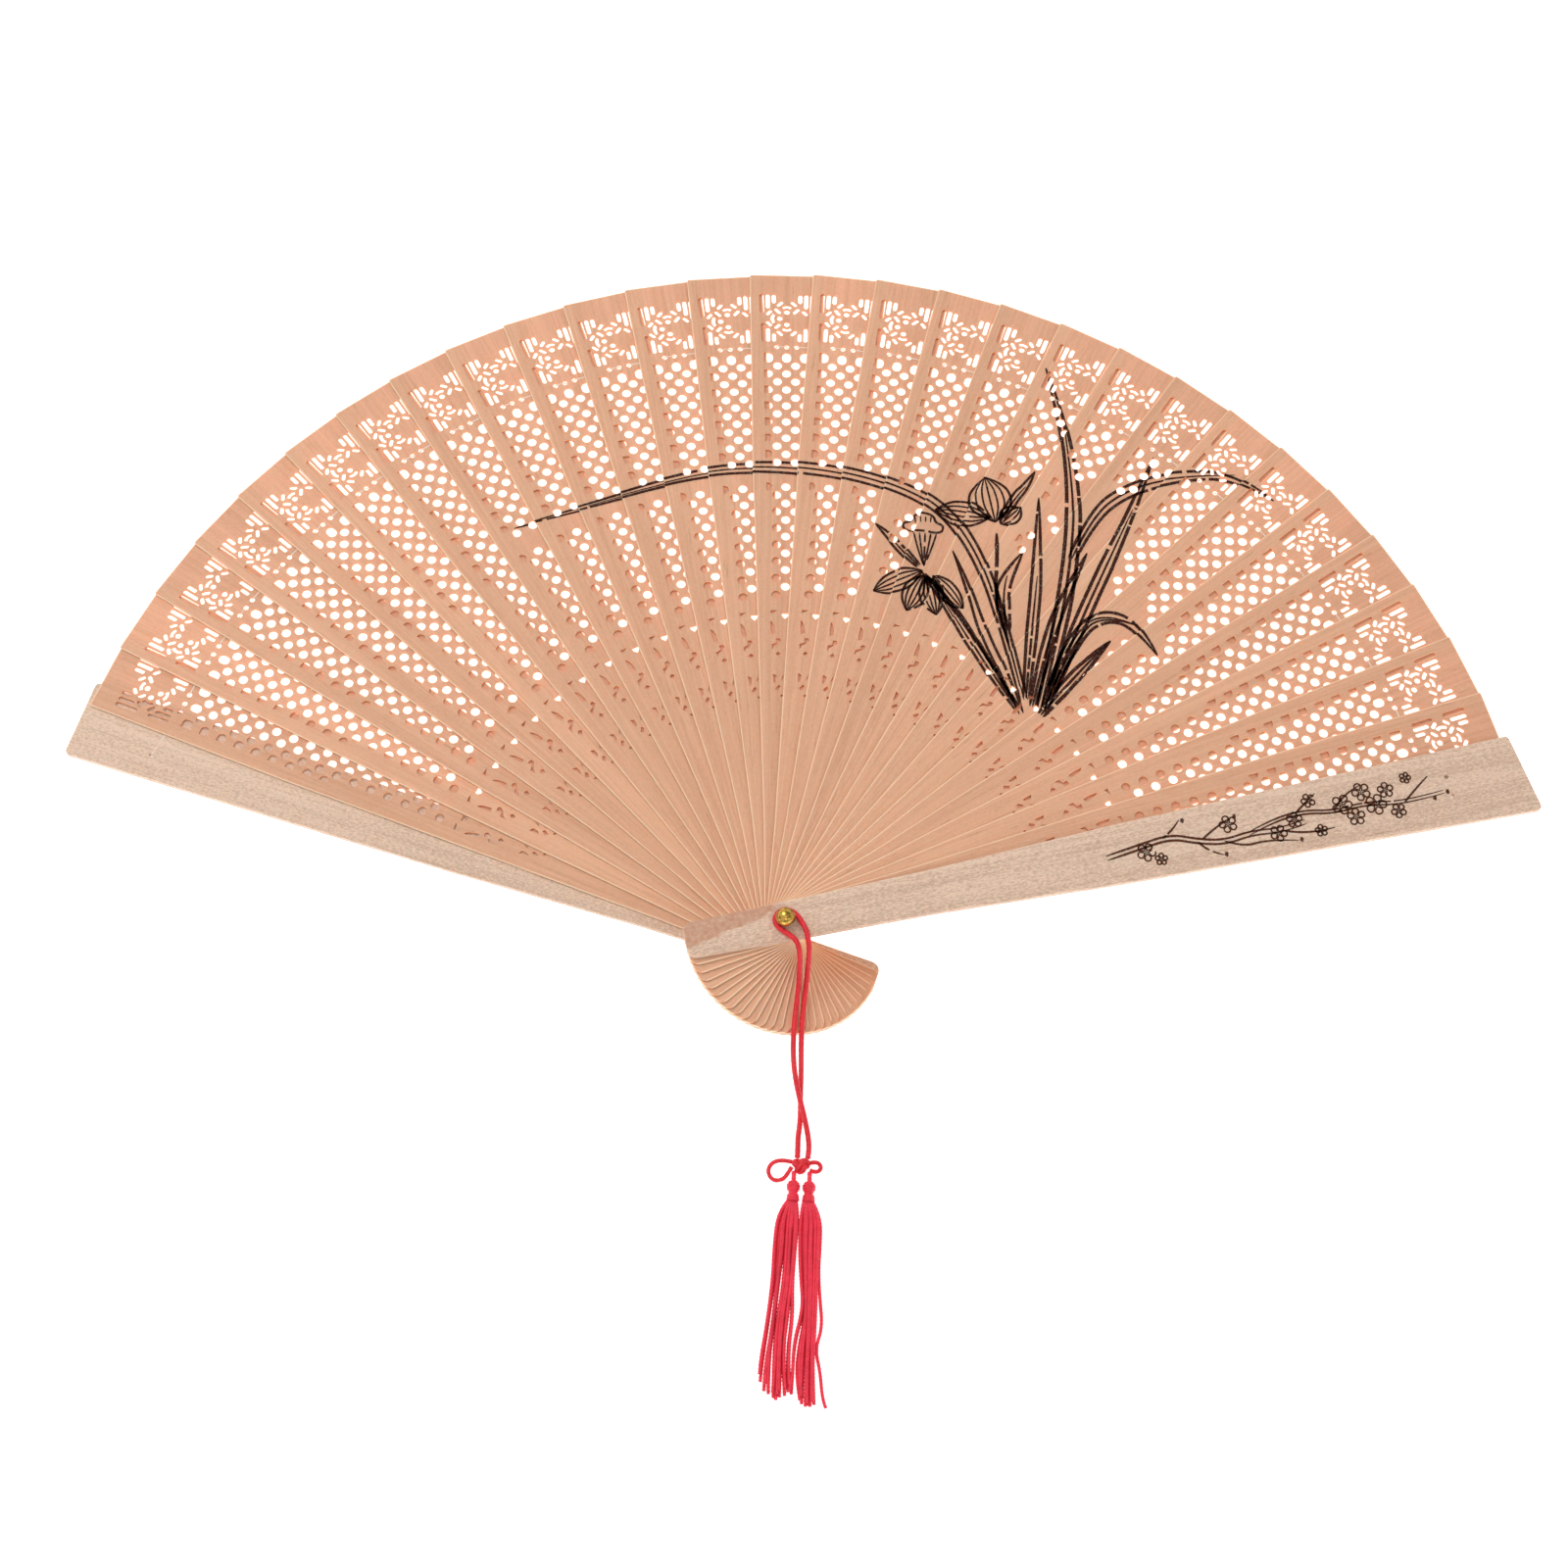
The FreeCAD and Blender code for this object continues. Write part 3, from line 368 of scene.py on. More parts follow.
LEFT_BOW = [
    (5.0, -50.7, 1.4), (2.8, -50.2, 1.1), (0.3, -51.0, 0.75), (-0.5, -53.2, 0.65), (0.9, -55.2, 0.65),
    (3.2, -54.8, 0.75), (4.3, -53.2, 1.2), (5.0, -51.9, 1.4),
]
RIGHT_BOW = [
    (9.2, -50.7, 1.3), (10.8, -50.1, 1.0), (12.0, -51.5, 0.8), (10.8, -52.9, 1.0), (9.2, -52.4, 1.3),
]
CORD_RADIUS, BOW_RADIUS = 0.65, 0.5


def smooth_line(points, fineness=12):
    """The points of a NURBS spline that has the given ones, in mm, as its control points."""
    data = bpy.data.curves.new("route", "CURVE")
    data.dimensions = "3D"
    spline = data.splines.new("NURBS")
    spline.points.add(len(points) - 1)
    for control, point in zip(spline.points, points):
        control.co = (*point, 1)
    spline.order_u = 3
    spline.use_endpoint_u = True
    spline.resolution_u = fineness
    holder = bpy.data.objects.new("route", data)
    bpy.context.collection.objects.link(holder)
    mesh = bpy.data.meshes.new_from_object(holder)
    line = [vertex.co.copy() for vertex in mesh.vertices]
    bpy.data.objects.remove(holder)
    bpy.data.curves.remove(data)
    bpy.data.meshes.remove(mesh)
    return line


def even_line(line, step):
    """The same line with its points evenly spaced, about step apart."""
    lengths = [0.0]
    for a, b in zip(line, line[1:]):
        lengths.append(lengths[-1] + (b - a).length)
    count = max(2, round(lengths[-1] / step))
    result, stretch = [], 0
    for number in range(count + 1):
        wanted = lengths[-1] * number / count
        while stretch < len(line) - 2 and lengths[stretch + 1] < wanted:
            stretch += 1
        span = max(lengths[stretch + 1] - lengths[stretch], 1e-9)
        result.append(line[stretch].lerp(line[stretch + 1], (wanted - lengths[stretch]) / span))
    return result


def sweep(verts, faces, line, radius, around=14, squash=1.0):
    """Adds a closed tube along a line to verts and faces; radius(along, angle) is in mm."""
    normal = None
    first = len(verts)
    along = 0.0
    for number, point in enumerate(line):
        ahead = line[min(number + 1, len(line) - 1)] - line[max(number - 1, 0)]
        ahead.normalize()
        if normal is None:
            normal = ahead.orthogonal().normalized()
            if abs(ahead.z) < 0.95:
                normal = (Vector((0, 0, 1)) - ahead * ahead.z).normalized()
        normal = (normal - ahead * normal.dot(ahead)).normalized()
        beside = ahead.cross(normal)
        if number:
            along += (point - line[number - 1]).length
        for step in range(around):
            angle = math.tau * step / around
            reach = radius(along, angle)
            over, across = reach * math.cos(angle) * squash, reach * math.sin(angle)
            verts.append(point + normal * over + beside * across)
    rings = len(line)
    for ring in range(rings - 1):
        for step in range(around):
            a, b = first + ring * around + step, first + ring * around + (step + 1) % around
            faces.append((a, b, b + around, a + around))
    faces.append(tuple(first + step for step in reversed(range(around))))
    faces.append(tuple(first + (rings - 1) * around + step for step in range(around)))


def make_mesh(name, verts, faces, material, smooth=True):
    """A mesh piece from points in mm."""
    mesh = bpy.data.meshes.new(name)
    mesh.from_pydata([tuple(Vector(v) * MM) for v in verts], [], faces)
    mesh.validate()
    mesh.update()
    if smooth:
        mesh.shade_smooth()
    mesh.materials.append(material)
    piece = bpy.data.objects.new(name, mesh)
    bpy.context.collection.objects.link(piece)
    return piece


def braid(radius, plies, pitch, depth):
    """A radius for sweep: a round braid, its plies crossing in two directions."""
    def at(along, angle):
        turn = math.tau * along / pitch
        one = abs(math.cos((plies * angle - turn) / 2))
        other = abs(math.cos((plies * angle + turn) / 2))
        return radius * (1 - depth + depth * max(one, other) ** 2)
    return at


def twist(radius, plies, pitch, depth):
    """A radius for sweep: plies twisted in one direction."""
    def at(along, angle):
        return radius * (1 - depth + depth * abs(math.cos((plies * angle - math.tau * along / pitch) / 2)))
    return at


def silk(name, light, dark):
    """Red silk braid: a soft sheen, fibres that cross its surface, and painted shade in the creases between
    its plies.
    """
    g = Graph(name)
    here = g.add("ShaderNodeTexCoord").outputs["Object"]
    fibres = g.noise(g.place(here, scale=(3800, 2600, 3800)), 1.0, 2.0, 0.6)
    patches = g.noise(here, 420.0, 3.0)
    crease_shade = g.add("ShaderNodeNewGeometry").outputs["Pointiness"]
    colour = g.ramp(g.maths("ADD", g.maths("MULTIPLY", fibres, 0.6), g.maths("MULTIPLY", patches, 0.4)),
                    (0.36, dark), (0.62, light))
    # painted shade: darker red where the braid's surface is hollow, in the creases between its plies
    colour = g.mix(g.ramp(crease_shade, (0.44, 0.75), (0.51, 0.0)), colour, rgb(0.25, 0.004, 0.012))
    g.feed(g.shader, "Base Color", colour)
    g.feed(g.shader, "Roughness", g.ramp(fibres, (0.3, 0.6), (0.7, 0.42)))
    g.shader.inputs["Sheen Weight"].default_value = 0.35
    g.shader.inputs["Sheen Roughness"].default_value = 0.4
    g.shader.inputs["Sheen Tint"].default_value = rgb(1.0, 0.45, 0.45)
    g.shader.inputs["Subsurface Weight"].default_value = 0.25
    g.shader.inputs["Subsurface Radius"].default_value = (1.0, 0.15, 0.12)
    g.shader.inputs["Subsurface Scale"].default_value = 0.3 * MM
    g.bump(fibres, 0.03 * MM, 0.7)
    return g.material


KNOT_MIDDLE = Vector((7.1, -51.4, 1.4))
TASSELS = {"left": 5.6, "right": 9.2}  # across, the middle of each tassel head
KNOT_FRONT, HEAD_TOP, HEAD_BOTTOM = -53.2, -55.0, -59.8


def make_knot(material):
    """An overhand knot: a trefoil of the same cord, with one wrap round it."""
    line = []
    for step in range(91):
        t = math.tau * step / 90
        line.append(KNOT_MIDDLE + Vector((0.56 * (math.sin(t) + 2 * math.sin(2 * t)),
                                          0.48 * (math.cos(t) - 2 * math.cos(2 * t)),
                                          -0.55 * math.sin(3 * t))))
    verts, faces = [], []
    sweep(verts, faces, line, braid(0.68, 6, 1.3, 0.2), 14)
    wrap = []
    for step in range(61):
        t = math.tau * step / 60
        wrap.append(KNOT_MIDDLE + Vector((0.9 * math.cos(t), 1.2 * math.cos(t), 0.75 * math.sin(t))))
    sweep(verts, faces, wrap, braid(0.62, 6, 1.3, 0.2), 12)
    return make_mesh("knot", verts, faces, material)


def make_head(side, x, material):
    """A wound tassel head: a round knot, a waist and a band, with the cord above it."""
    profile = [(0.0, 0.55), (0.08, 1.15), (0.25, 1.62), (0.45, 1.5), (0.56, 1.12), (0.64, 1.05),
               (0.72, 1.38), (0.9, 1.5), (1.0, 1.55)]
    length = HEAD_TOP - HEAD_BOTTOM

    def radius(along, angle):
        share = min(max(along / length, 0.0), 1.0)
        for (low, small), (high, large) in zip(profile, profile[1:]):
            if share <= high:
                base = small + (large - small) * (share - low) / (high - low)
                break
        turns = abs(math.cos(math.pi * along / 0.62 + angle / 2))
        return base * (0.9 + 0.1 * turns)
    verts, faces = [], []
    line = even_line([Vector((x, HEAD_TOP, 1.62)), Vector((x, HEAD_BOTTOM, 1.62))], 0.08)
    sweep(verts, faces, line, radius, 26)
    neck = even_line([Vector((x, KNOT_FRONT + 0.3, 1.5)), Vector((x, HEAD_TOP - 0.4, 1.6))], 0.1)
    sweep(verts, faces, neck, braid(0.55, 6, 1.1, 0.16), 12)
    return make_mesh(f"head_{side}", verts, faces, material)


# A fringe's strands, each a list of (x, y), from its head to its loose end.
LEFT_FRINGE = [
    [(4.6, -59.8), (2.7, -62.5), (2.4, -70), (2.3, -78), (1.7, -88), (0.6, -97), (0.5, -101)],
    [(4.9, -59.8), (3.4, -63), (3.0, -72), (2.9, -80), (2.3, -89), (1.4, -97), (1.4, -103)],
    [(5.1, -59.8), (4.1, -63), (4.0, -71), (3.3, -79), (2.9, -88), (2.1, -96), (2.6, -103.6)],
    [(5.3, -59.8), (4.7, -63), (4.4, -70), (4.7, -78), (3.4, -88), (3.2, -96), (3.4, -104.4)],
    [(5.6, -59.8), (5.2, -63), (5.3, -71), (5.1, -79), (3.9, -87), (3.9, -97), (4.2, -104.8)],
    [(5.8, -59.8), (5.8, -63), (5.5, -70), (5.7, -78), (4.9, -86), (4.6, -96), (5.0, -104.2)],
    [(6.1, -59.8), (6.3, -63), (6.3, -71), (6.0, -78), (5.8, -85), (5.2, -95), (6.1, -103.8)],
    [(6.4, -59.8), (6.9, -63), (6.9, -71), (6.5, -79), (7.0, -86), (6.2, -95), (6.8, -102.9)],
]
RIGHT_FRINGE = [
    [(8.2, -59.8), (7.7, -63), (7.9, -70), (8.5, -77), (9.4, -84), (7.8, -92), (7.7, -100), (7.3, -103.4)],
    [(8.5, -59.8), (8.5, -63), (8.7, -71), (9.2, -78), (9.6, -86), (8.6, -94), (8.7, -100), (9.6, -104.6)],
    [(8.8, -59.8), (9.1, -63), (9.3, -71), (9.8, -79), (9.9, -88), (9.6, -97), (9.9, -105.4)],
    [(9.1, -59.8), (9.8, -63), (9.9, -71), (10.3, -79), (10.3, -88), (10.4, -97), (10.6, -105.9)],
    [(9.4, -59.8), (10.4, -63), (10.5, -71), (10.8, -79), (10.9, -88), (11.0, -97), (11.3, -105.6)],
    [(9.7, -59.8), (11.0, -63), (11.2, -71), (11.3, -79), (11.5, -88), (11.6, -97), (12.0, -105.9)],
    [(10.0, -59.8), (11.7, -63), (11.9, -70), (11.9, -77), (12.0, -88), (12.2, -97), (12.7, -105.4)],
    [(10.2, -59.8), (12.3, -63), (12.4, -70), (12.2, -75), (12.9, -81), (13.6, -88), (12.6, -93),
     (13.6, -98), (14.6, -104), (15.2, -106)],
]


def make_fringe(side, strands, material):
    """The braided strands of one fringe, from the wound head down to the surface."""
    draw = random.Random(7 if side == "left" else 8)
    verts, faces = [], []
    for number, strand in enumerate(strands):
        for layer in range(2):
            if layer and number == len(strands) - 1 and side == "right":
                continue
            sway = draw.uniform(-0.3, 0.3) if layer else 0.0
            points = []
            for place, (x, y) in enumerate(strand):
                lift = max(0.0, 1 - (HEAD_BOTTOM - y) / 9)
                height = 0.42 + 0.75 * layer + 1.1 * lift * (1 - 0.35 * layer)
                shift = 0.0 if place == 0 else sway + draw.uniform(-0.22, 0.22)
                shorter = draw.uniform(0.2, 1.8) if layer and place == len(strand) - 1 else 0
                points.append((x + shift, y + shorter, height))
            line = even_line(smooth_line(points), 0.2)
            sweep(verts, faces, line, braid(0.42, 4, 0.85, 0.22), 9)
    return make_mesh(f"strands_{side}", verts, faces, material)


def make_tassel():
    """The cord, its knot and bow, and the two tassels."""
    red = silk("silk_cord", rgb(0.84, 0.014, 0.03), rgb(0.55, 0.004, 0.012))
    loose = silk("silk_fringe", rgb(0.93, 0.025, 0.07), rgb(0.70, 0.008, 0.03))
    pieces, lines = {}, {}
    routes = {"cord_right": (RIGHT_STRAND, CORD_RADIUS), "cord_left": (LEFT_STRAND, CORD_RADIUS),
              "bow_left": (LEFT_BOW, BOW_RADIUS), "bow_right": (RIGHT_BOW, BOW_RADIUS)}
    for name, (route, radius) in routes.items():
        lines[name] = smooth_line(route)
        verts, faces = [], []
        sweep(verts, faces, even_line(lines[name], 0.12), braid(radius, 6, 1.5, 0.24), 18)
        pieces[name] = make_mesh(name, verts, faces, red)
    pieces["knot"] = make_knot(red)
    for side, x in TASSELS.items():
        pieces[f"head_{side}"] = make_head(side, x, loose)
    pieces["fringe_left"] = make_fringe("left", LEFT_FRINGE, loose)
    pieces["fringe_right"] = make_fringe("right", RIGHT_FRINGE, loose)
    stands_for = {
        "cord_right": "tassel_cord_right", "cord_left": "tassel_cord_left", "knot": "tassel_knot",
        "bow_left": "bow_loop_left", "bow_right": "bow_loop_right", "head_left": "tassel_head_left",
        "head_right": "tassel_head_right", "fringe_left": "fringe_left", "fringe_right": "fringe_right",
    }
    for name, piece in pieces.items():
        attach(piece, ROOT)
        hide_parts(stands_for[name])
    ends = {"cord_right": [piece for name, piece in pieces.items() if not name.startswith("cord")],
            "cord_left": []}
    for name, on_it in ends.items():
        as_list(on_it)


# ---- the linking thread ----

THREAD_REACH, THREAD_PITCH = 155.45, 2.5
BACK_ANCHOR = (-3.4, 157.6)  # across and reach, on the back guard
FRONT_ANCHORS_ACROSS, FRONT_ANCHOR_REACH = (-2.6, 2.2), 159.7
GUARD_THICK = 1.6
KNOT_DEPTH, TIE_RISE = 0.9, 1.35  # of the thread's ends in the guards' holes
THREAD_LIFT = 0.042  # of the thread's middle over, or under, the wood it lies on


def thread_material():
    """Fine pale thread, twisted and a little glossy."""
    g = Graph("thread")
    here = g.add("ShaderNodeTexCoord").outputs["Object"]
    fibres = g.noise(here, 5200.0, 2.0)
    pale = g.ramp(fibres, (0.35, rgb(0.80, 0.60, 0.47)), (0.65, rgb(0.93, 0.80, 0.70)))
    g.feed(g.shader, "Base Color", pale)
    g.shader.inputs["Roughness"].default_value = 0.45
    g.shader.inputs["Sheen Weight"].default_value = 0.3
    g.bump(fibres, 0.02 * MM, 0.6)
    return g.material


def thread_piece(name, points, material):
    """A stretch of the flat thread through points in mm."""
    verts, faces = [], []
    line = even_line([Vector(p) for p in points], 0.35)
    sweep(verts, faces, line, twist(0.16, 2, 0.9, 0.12), 8, squash=0.23)
    return make_mesh(name, verts, faces, material)


def make_thread():
    """On each blade the thread rises, crosses to the middle hole and passes below to the right one.

    Between two blades a straight stretch of it runs from one blade to the next.
    """
    material = thread_material()
    last, last_body = on_stick(0, *BACK_ANCHOR, top_of(0) + THREAD_LIFT), ROOT
    anchor = thread_piece("thread_anchor_back", [last - Vector((0, 0, KNOT_DEPTH)), last], material)
    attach(anchor, ROOT)
    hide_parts("linking_thread")
    for stick, body in enumerate(BLADES, start=1):
        above = top_of(stick) + THREAD_LIFT
        below = top_of(stick) - BLADE_THICK - THREAD_LIFT
        low = [on_stick(stick, step * THREAD_PITCH, THREAD_REACH, below) for step in (-1, 0, 1)]
        high = [on_stick(stick, step * THREAD_PITCH, THREAD_REACH, above) for step in (-1, 0, 1)]
        link = thread_piece(f"thread_link_{stick:02d}", [last, low[0]], material)
        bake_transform(link)
        weave = [low[0], high[0], high[1], low[1], low[2], high[2]]
        woven = thread_piece(f"thread_{stick:02d}", weave, material)
        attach(woven, body)
        last, last_body = high[2], body
    front = BLADE_COUNT + 1
    under = top_of(front) - GUARD_THICK - THREAD_LIFT
    ends = [on_stick(front, across, FRONT_ANCHOR_REACH, under) for across in FRONT_ANCHORS_ACROSS]
    link = thread_piece("thread_link_front", [last, ends[0]], material)
    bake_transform(link)
    rise = Vector((0, 0, TIE_RISE))
    tie = thread_piece("thread_anchor_front", [ends[0] + rise, ends[0], ends[1], ends[1] + rise], material)
    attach(tie, "front_guard")


# ---- the print ----

INK_LIFT = 0.03  # of the print over the wood, in mm
FEWEST_CORNERS = 40  # a smaller print than this on a blade is left out


def ink_material(name, colour):
    """Brown ink on bare wood, thin where the grain didn't take it."""
    g = Graph(name)
    here = g.add("ShaderNodeTexCoord").outputs["Object"]
    patchy = g.noise(here, 1700.0, 4.0, 0.7)
    thin = g.ramp(patchy, (0.3, rgb(*[0.5 * c + 0.14 for c in colour])), (0.46, rgb(*colour)))
    g.feed(g.shader, "Base Color", thin)
    g.shader.inputs["Roughness"].default_value = 0.9
    g.shader.inputs["Specular IOR Level"].default_value = 0.0
    return g.material


class Stroke:
    """A pen line in the plane of the open fan, through (x, y) points, swelling to width in mm."""

    def __init__(self, points, width, taper=(0.35, 0.35), offset=0.0, spread=None):
        self.width, self.taper = width, taper
        line = even_line(smooth_line([(*p, 0) for p in points]), 0.22)
        total = max(len(line) - 1, 1)
        self.spots = []
        for number, point in enumerate(line):
            ahead = line[min(number + 1, total)] - line[max(number - 1, 0)]
            side = Vector((ahead.y, -ahead.x, 0)).normalized()
            share = number / total
            reach = offset * (spread(share) if spread else 1.0)
            self.spots.append((point + side * reach, side, share))

    def thickness(self, share):
        start, end = self.taper
        swell = min(share / start if start else 1.0, (1 - share) / end if end else 1.0, 1.0)
        return self.width * (0.25 + 0.75 * math.sqrt(max(swell, 0.0)))

    def quads(self, draw):
        """Short quadrilaterals, three side by side, with small gaps where the pen skipped."""
        skip = 0
        for (a, side_a, share), (b, side_b, _) in zip(self.spots, self.spots[1:]):
            if skip:
                skip -= 1
                continue
            if draw.random() < 0.006:
                skip = draw.randint(1, 4)
                continue
            half = self.thickness(share) / 2 * draw.uniform(0.9, 1.08)
            for low, high in ((-1, -0.33), (-0.33, 0.33), (0.33, 1)):
                yield [a + side_a * half * low, a + side_a * half * high,
                       b + side_b * half * high, b + side_b * half * low]


def leaf(points, width, line_width=0.62, veins=1):
    """A blade-shaped leaf: two outlines that meet at its tip, and veins between them."""
    def spread(share):
        return min(1.0, (1 - share) / 0.45) ** 0.8 * (0.55 + 0.45 * min(1.0, share / 0.3))
    strokes = [Stroke(points, line_width, (0.05, 0.2), side * width / 2, spread) for side in (-1, 1)]
    for vein in range(veins):
        offset = width * ((vein + 1) / (veins + 1) - 0.5)
        shorter = points[:-1] if len(points) > 3 else points
        strokes.append(Stroke(shorter, line_width * 0.8, (0.1, 0.6), offset, spread))
    return strokes


def petal(base, tip, width, lines=5, line_width=0.5):
    """A pointed petal with curved veins from its base to its tip."""
    base, tip = Vector((*base, 0)), Vector((*tip, 0))
    middle, axis = (base + tip) / 2, tip - base
    side = Vector((axis.y, -axis.x, 0)).normalized()
    strokes = []
    for number in range(lines):
        bulge = width * (number / (lines - 1) - 0.5) * 1.35
        points = [base, base.lerp(middle, 0.5) + side * bulge * 0.85, middle + side * bulge,
                  middle.lerp(tip, 0.6) + side * bulge * 0.75, tip]
        heavier = 1.0 if 0 < number < lines - 1 else 1.3  # for the two outlines
        strokes.append(Stroke([(p.x, p.y) for p in points], line_width * heavier, (0.2, 0.25)))
    return strokes


def orchid():
    """An orchid in line work: a clump of grass-like leaves, one long and arching, and two flowers."""
    strokes = []
    long_leaf = [(54.0, 60.5), (49.0, 80), (43.0, 98), (34.5, 111), (23, 117.4), (6, 121.3),
                 (-13.3, 121.6), (-30, 118.4), (-53.4, 109.0), (-71.0, 102.3)]
    tall_leaf = [(57.9, 58), (62.3, 80), (65.0, 102), (65.2, 118), (62.3, 137), (57.7, 152)]
    right_leaf = [(64.8, 99.0), (69.8, 111.3), (78.1, 118.8), (90, 123.2), (104.6, 124.4), (114, 117.6)]
    strokes += leaf(long_leaf, 3.0, 0.72, 1)
    strokes += leaf(tall_leaf, 3.4, 0.95, 1)
    strokes += leaf(right_leaf, 3.0, 0.8, 1)
    strokes += leaf([(58.8, 58.5), (66.6, 80.8), (73.8, 99.0), (79.6, 113.5), (84.6, 128.2)], 3.0, 0.9, 1)
    strokes += leaf([(60.2, 64), (66.2, 79.6), (73.5, 84.4), (80.7, 81.8), (85.6, 74.0)], 3.0, 0.82, 2)
    strokes += leaf([(57.9, 56.6), (65.5, 67.4), (74.4, 77.4)], 2.6, 0.95, 1)
    strokes += leaf([(54.4, 61), (55.4, 77), (56.6, 94), (56.6, 115.5)], 2.4, 0.82, 1)
    strokes += leaf([(56.0, 59), (58.4, 72), (62.0, 86), (68.6, 101)], 2.4, 0.86, 1)
    strokes += leaf([(49.6, 79), (47.9, 88), (49.4, 94), (53.0, 100.4)], 3.0, 0.8, 1)
    strokes += leaf([(52.6, 58), (47.2, 66), (40.2, 77), (33.6, 87.4), (28.6, 94.4)], 2.2, 0.75, 1)
    strokes += leaf([(53.4, 57), (50.0, 66), (44.0, 78), (39.6, 92), (36.0, 100)], 1.8, 0.75, 0)
    # the upper flower and its stem
    strokes += [Stroke([(50.2, 75), (46.4, 89), (46.9, 97), (46.6, 105.5)], 1.0, (0.1, 0.1))]
    strokes += petal((46.2, 108.4), (43.2, 120.6), 8.0, 7)
    strokes += petal((45.0, 109.6), (31.4, 111.2), 5.2, 6)
    strokes += petal((47.4, 108.0), (52.2, 112.8), 3.8, 5)
    strokes += leaf([(47.8, 109.4), (50.8, 115.6), (53.4, 118.6), (55.6, 123.0)], 1.9, 0.7, 1)
    # the lower flower and its stem
    strokes += [Stroke([(51.6, 60), (44.0, 74), (36.4, 86), (29.6, 93.8)], 1.0, (0.1, 0.1))]
    strokes += petal((29.0, 94.6), (17.2, 88.6), 4.2, 5)
    strokes += petal((29.2, 93.4), (25.4, 83.6), 4.6, 6)
    strokes += petal((30.0, 93.2), (32.6, 82.6), 4.4, 6)
    strokes += petal((31.4, 93.4), (39.0, 84.4), 3.6, 5)
    strokes += leaf([(28.0, 95.6), (23.4, 100.2), (20.6, 103.6), (17.0, 106.8)], 1.8, 0.7, 1)
    # its ruffled lip, on a fluted throat
    lip = [(26.0, 105.2), (23.8, 105.6), (23.8, 107.6), (25.8, 107.8), (26.6, 110.0), (28.8, 110.2),
           (31.2, 109.4), (31.6, 107.6), (33.6, 107.0), (33.4, 105.2), (31.6, 104.8), (28.8, 105.4),
           (26.0, 105.2)]
    strokes.append(Stroke(lip, 0.62, (0.05, 0.05)))
    strokes += [Stroke([(26.6 + 1.3 * n, 109.3), (26.8 + 1.2 * n, 107.6)], 0.4, (0.1, 0.5))
                for n in range(4)]
    strokes += [Stroke([(26.4 + 1.4 * n, 104.8), (27.4 + 0.9 * n, 100.4), (29.2, 95.8)], 0.5, (0.1, 0.2))
                for n in range(5)]
    return strokes


def topmost(point):
    """The highest blade whose outline holds a point of the open fan."""
    reach, angle = math.hypot(point.x, point.y), math.degrees(math.atan2(-point.x, point.y))
    for stick in range(BLADE_COUNT, 0, -1):
        if abs(reach * math.sin(math.radians(turn_of(stick) - angle))) <= half_width(reach):
            return stick
    return 0


def print_orchid():
    """The orchid on the blades, broken wherever a blade ends or is cut away."""
    trees = {}
    ink = ink_material("ink_orchid", (0.050, 0.015, 0.009))
    verts = {stick: [] for stick in range(1, BLADE_COUNT + 1)}
    draw = random.Random(3)
    for stroke in orchid():
        for quad in stroke.quads(draw):
            middle = sum(quad, Vector()) / 4
            stick = topmost(middle)
            if not stick:
                continue
            if stick not in trees:
                trees[stick] = BVHTree.FromObject(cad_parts[BLADES[stick - 1]],
                                                  bpy.context.evaluated_depsgraph_get())
            top = top_of(stick)
            start = Vector((middle.x * MM, middle.y * MM, (top + 1) * MM))
            hit = trees[stick].ray_cast(start, Vector((0, 0, -1)), 1.2 * MM)
            if hit[0] is None:
                continue
            verts[stick] += [Vector((corner.x, corner.y, top + INK_LIFT)) for corner in quad]
    for stick, corners in verts.items():
        if len(corners) < FEWEST_CORNERS:
            continue
        faces = [tuple(range(n, n + 4)) for n in range(0, len(corners), 4)]
        piece = make_mesh(f"print_{stick:02d}", corners, faces, ink, smooth=False)
        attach(piece, BLADES[stick - 1])


# A blossom's petal round its own middle: outwards and sideways, in shares of the blossom's size.
PETAL_SHAPE = [(-0.32, 0), (0, -0.42), (0.42, -0.3), (0.5, 0), (0.42, 0.3), (0, 0.42), (-0.32, 0)]


def blossom(across, reach, size, turn):
    """A five-petalled blossom in outline, with short stamens."""
    strokes = []
    heart = Vector((across, reach))
    for number in range(5):
        angle = math.radians(turn + 72 * number)
        outward = Vector((math.cos(angle), math.sin(angle)))
        side = Vector((-outward.y, outward.x))
        middle = heart + outward * size * 0.55
        ring = [middle + outward * size * out + side * size * beside for out, beside in PETAL_SHAPE]
        strokes.append(Stroke([tuple(p) for p in ring], 0.42, (0.1, 0.1)))
        strokes.append(Stroke([tuple(heart), tuple(heart + outward * size * 0.34)], 0.32, (0.1, 0.1)))
    return strokes


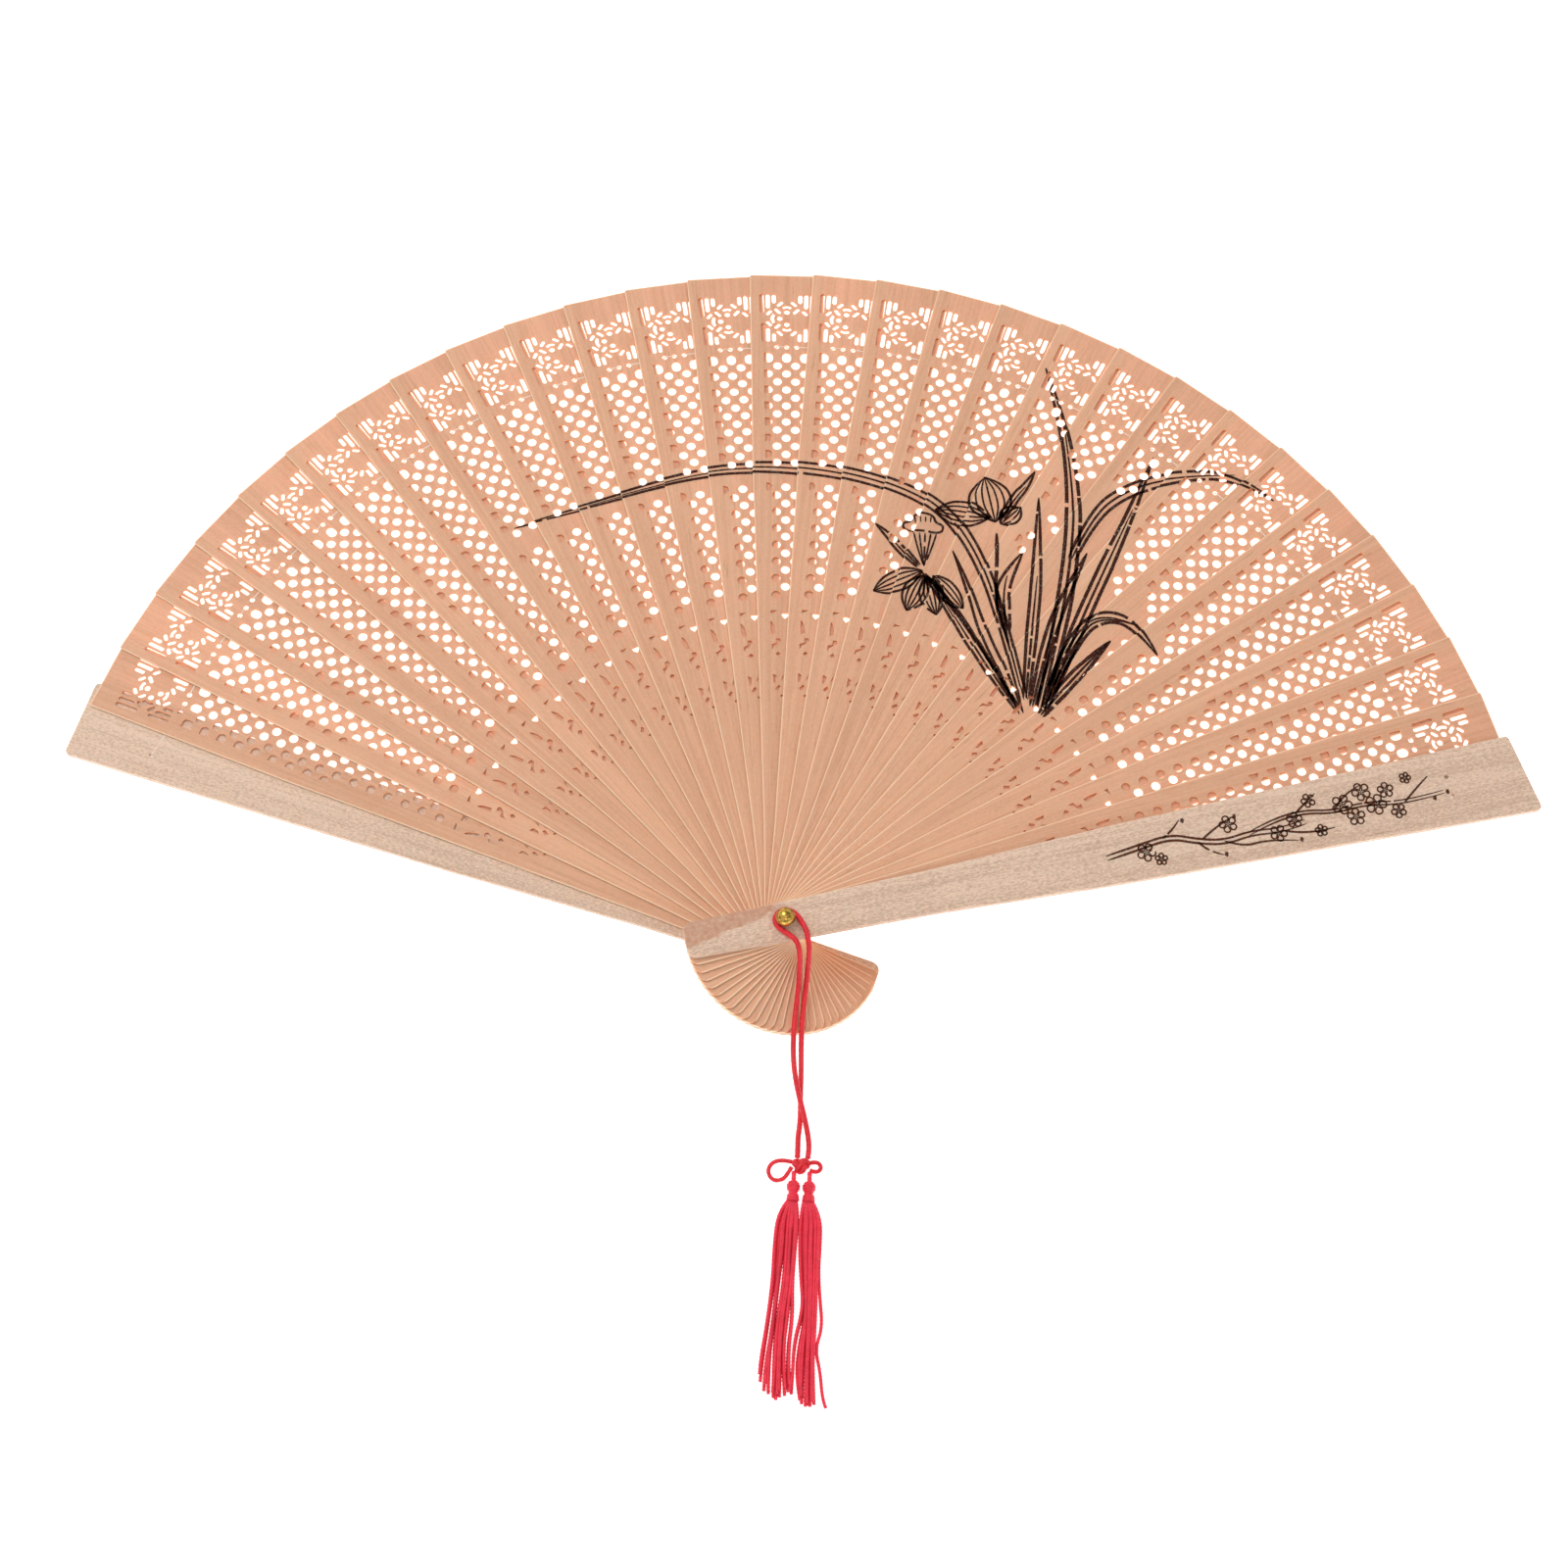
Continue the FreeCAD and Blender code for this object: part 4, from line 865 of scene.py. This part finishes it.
def plum_branch():
    """A flowering plum branch, in the front guard's own (across, reach)."""
    strokes = []
    trunk = [(0.6, 76), (-0.5, 84), (-1.6, 92), (0.9, 98), (2.4, 104), (1.4, 111), (2.3, 118), (1.3, 124)]
    bough = [(1.6, 110), (-0.4, 116), (-1.2, 124), (0.4, 131), (-0.2, 139), (1.6, 148), (0.8, 158)]
    for side in (-0.55, 0.55):
        strokes.append(Stroke(trunk, 0.6, (0.1, 0.5), side))
        strokes.append(Stroke(bough, 0.5, (0.2, 0.5), side * 0.7))
    twigs = [[(-1.4, 90), (-3.0, 93), (-5.2, 95)], [(0.9, 98), (3.4, 99), (5.3, 103)],
             [(2.0, 104), (4.4, 108), (3.8, 114), (5.4, 121)], [(0.4, 131), (-3.4, 134), (-4.8, 139)],
             [(-1.0, 122), (-3.8, 126), (-5.0, 128)], [(1.6, 148), (-1.6, 152), (-4.2, 156)],
             [(0.7, 99), (-1.8, 103), (-3.2, 107)], [(2.3, 118), (4.8, 124), (4.0, 131)]]
    strokes += [Stroke(points, 0.55, (0.1, 0.6)) for points in twigs]
    blossoms = [(1.0, 85.5, 2.1), (3.4, 88.5, 1.4), (-1.8, 106, 2.0), (2.8, 117, 1.9), (0.4, 121.5, 1.8),
                (-3.6, 126, 1.6), (-1.0, 133.5, 2.3), (2.6, 136, 2.0), (-3.2, 138.8, 2.1), (0.6, 141.4, 2.4),
                (-2.4, 144.6, 1.8), (3.2, 146.2, 1.7), (-4.4, 150, 1.3), (4.2, 127, 1.4)]
    for number, (across, reach, size) in enumerate(blossoms):
        strokes += blossom(across, reach, size, 25 * number)
    buds = [(-4.9, 95.4), (5.2, 103.4), (-3.4, 107.6), (1.8, 155.2), (0.9, 158.6), (5.3, 121.6)]
    for across, reach in buds:
        tip = [(across - 0.5, reach), (across, reach + 0.6), (across + 0.5, reach)]
        strokes.append(Stroke(tip, 0.9, (0.1, 0.1)))
    return strokes


def print_plum():
    """The plum branch on the front guard."""
    ink = ink_material("ink_plum", (0.10, 0.034, 0.018))
    stick = BLADE_COUNT + 1
    top = top_of(stick)
    draw = random.Random(4)
    corners = []
    for stroke in plum_branch():
        for quad in stroke.quads(draw):
            corners += [on_stick(stick, corner.x, corner.y, top + INK_LIFT) for corner in quad]
    faces = [tuple(range(n, n + 4)) for n in range(0, len(corners), 4)]
    piece = make_mesh("print_guard", corners, faces, ink, smooth=False)
    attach(piece, "front_guard")


add_camera()
make_tassel()
add_studio()
dress_wood()
dress_brass()
make_thread()
print_orchid()
print_plum()
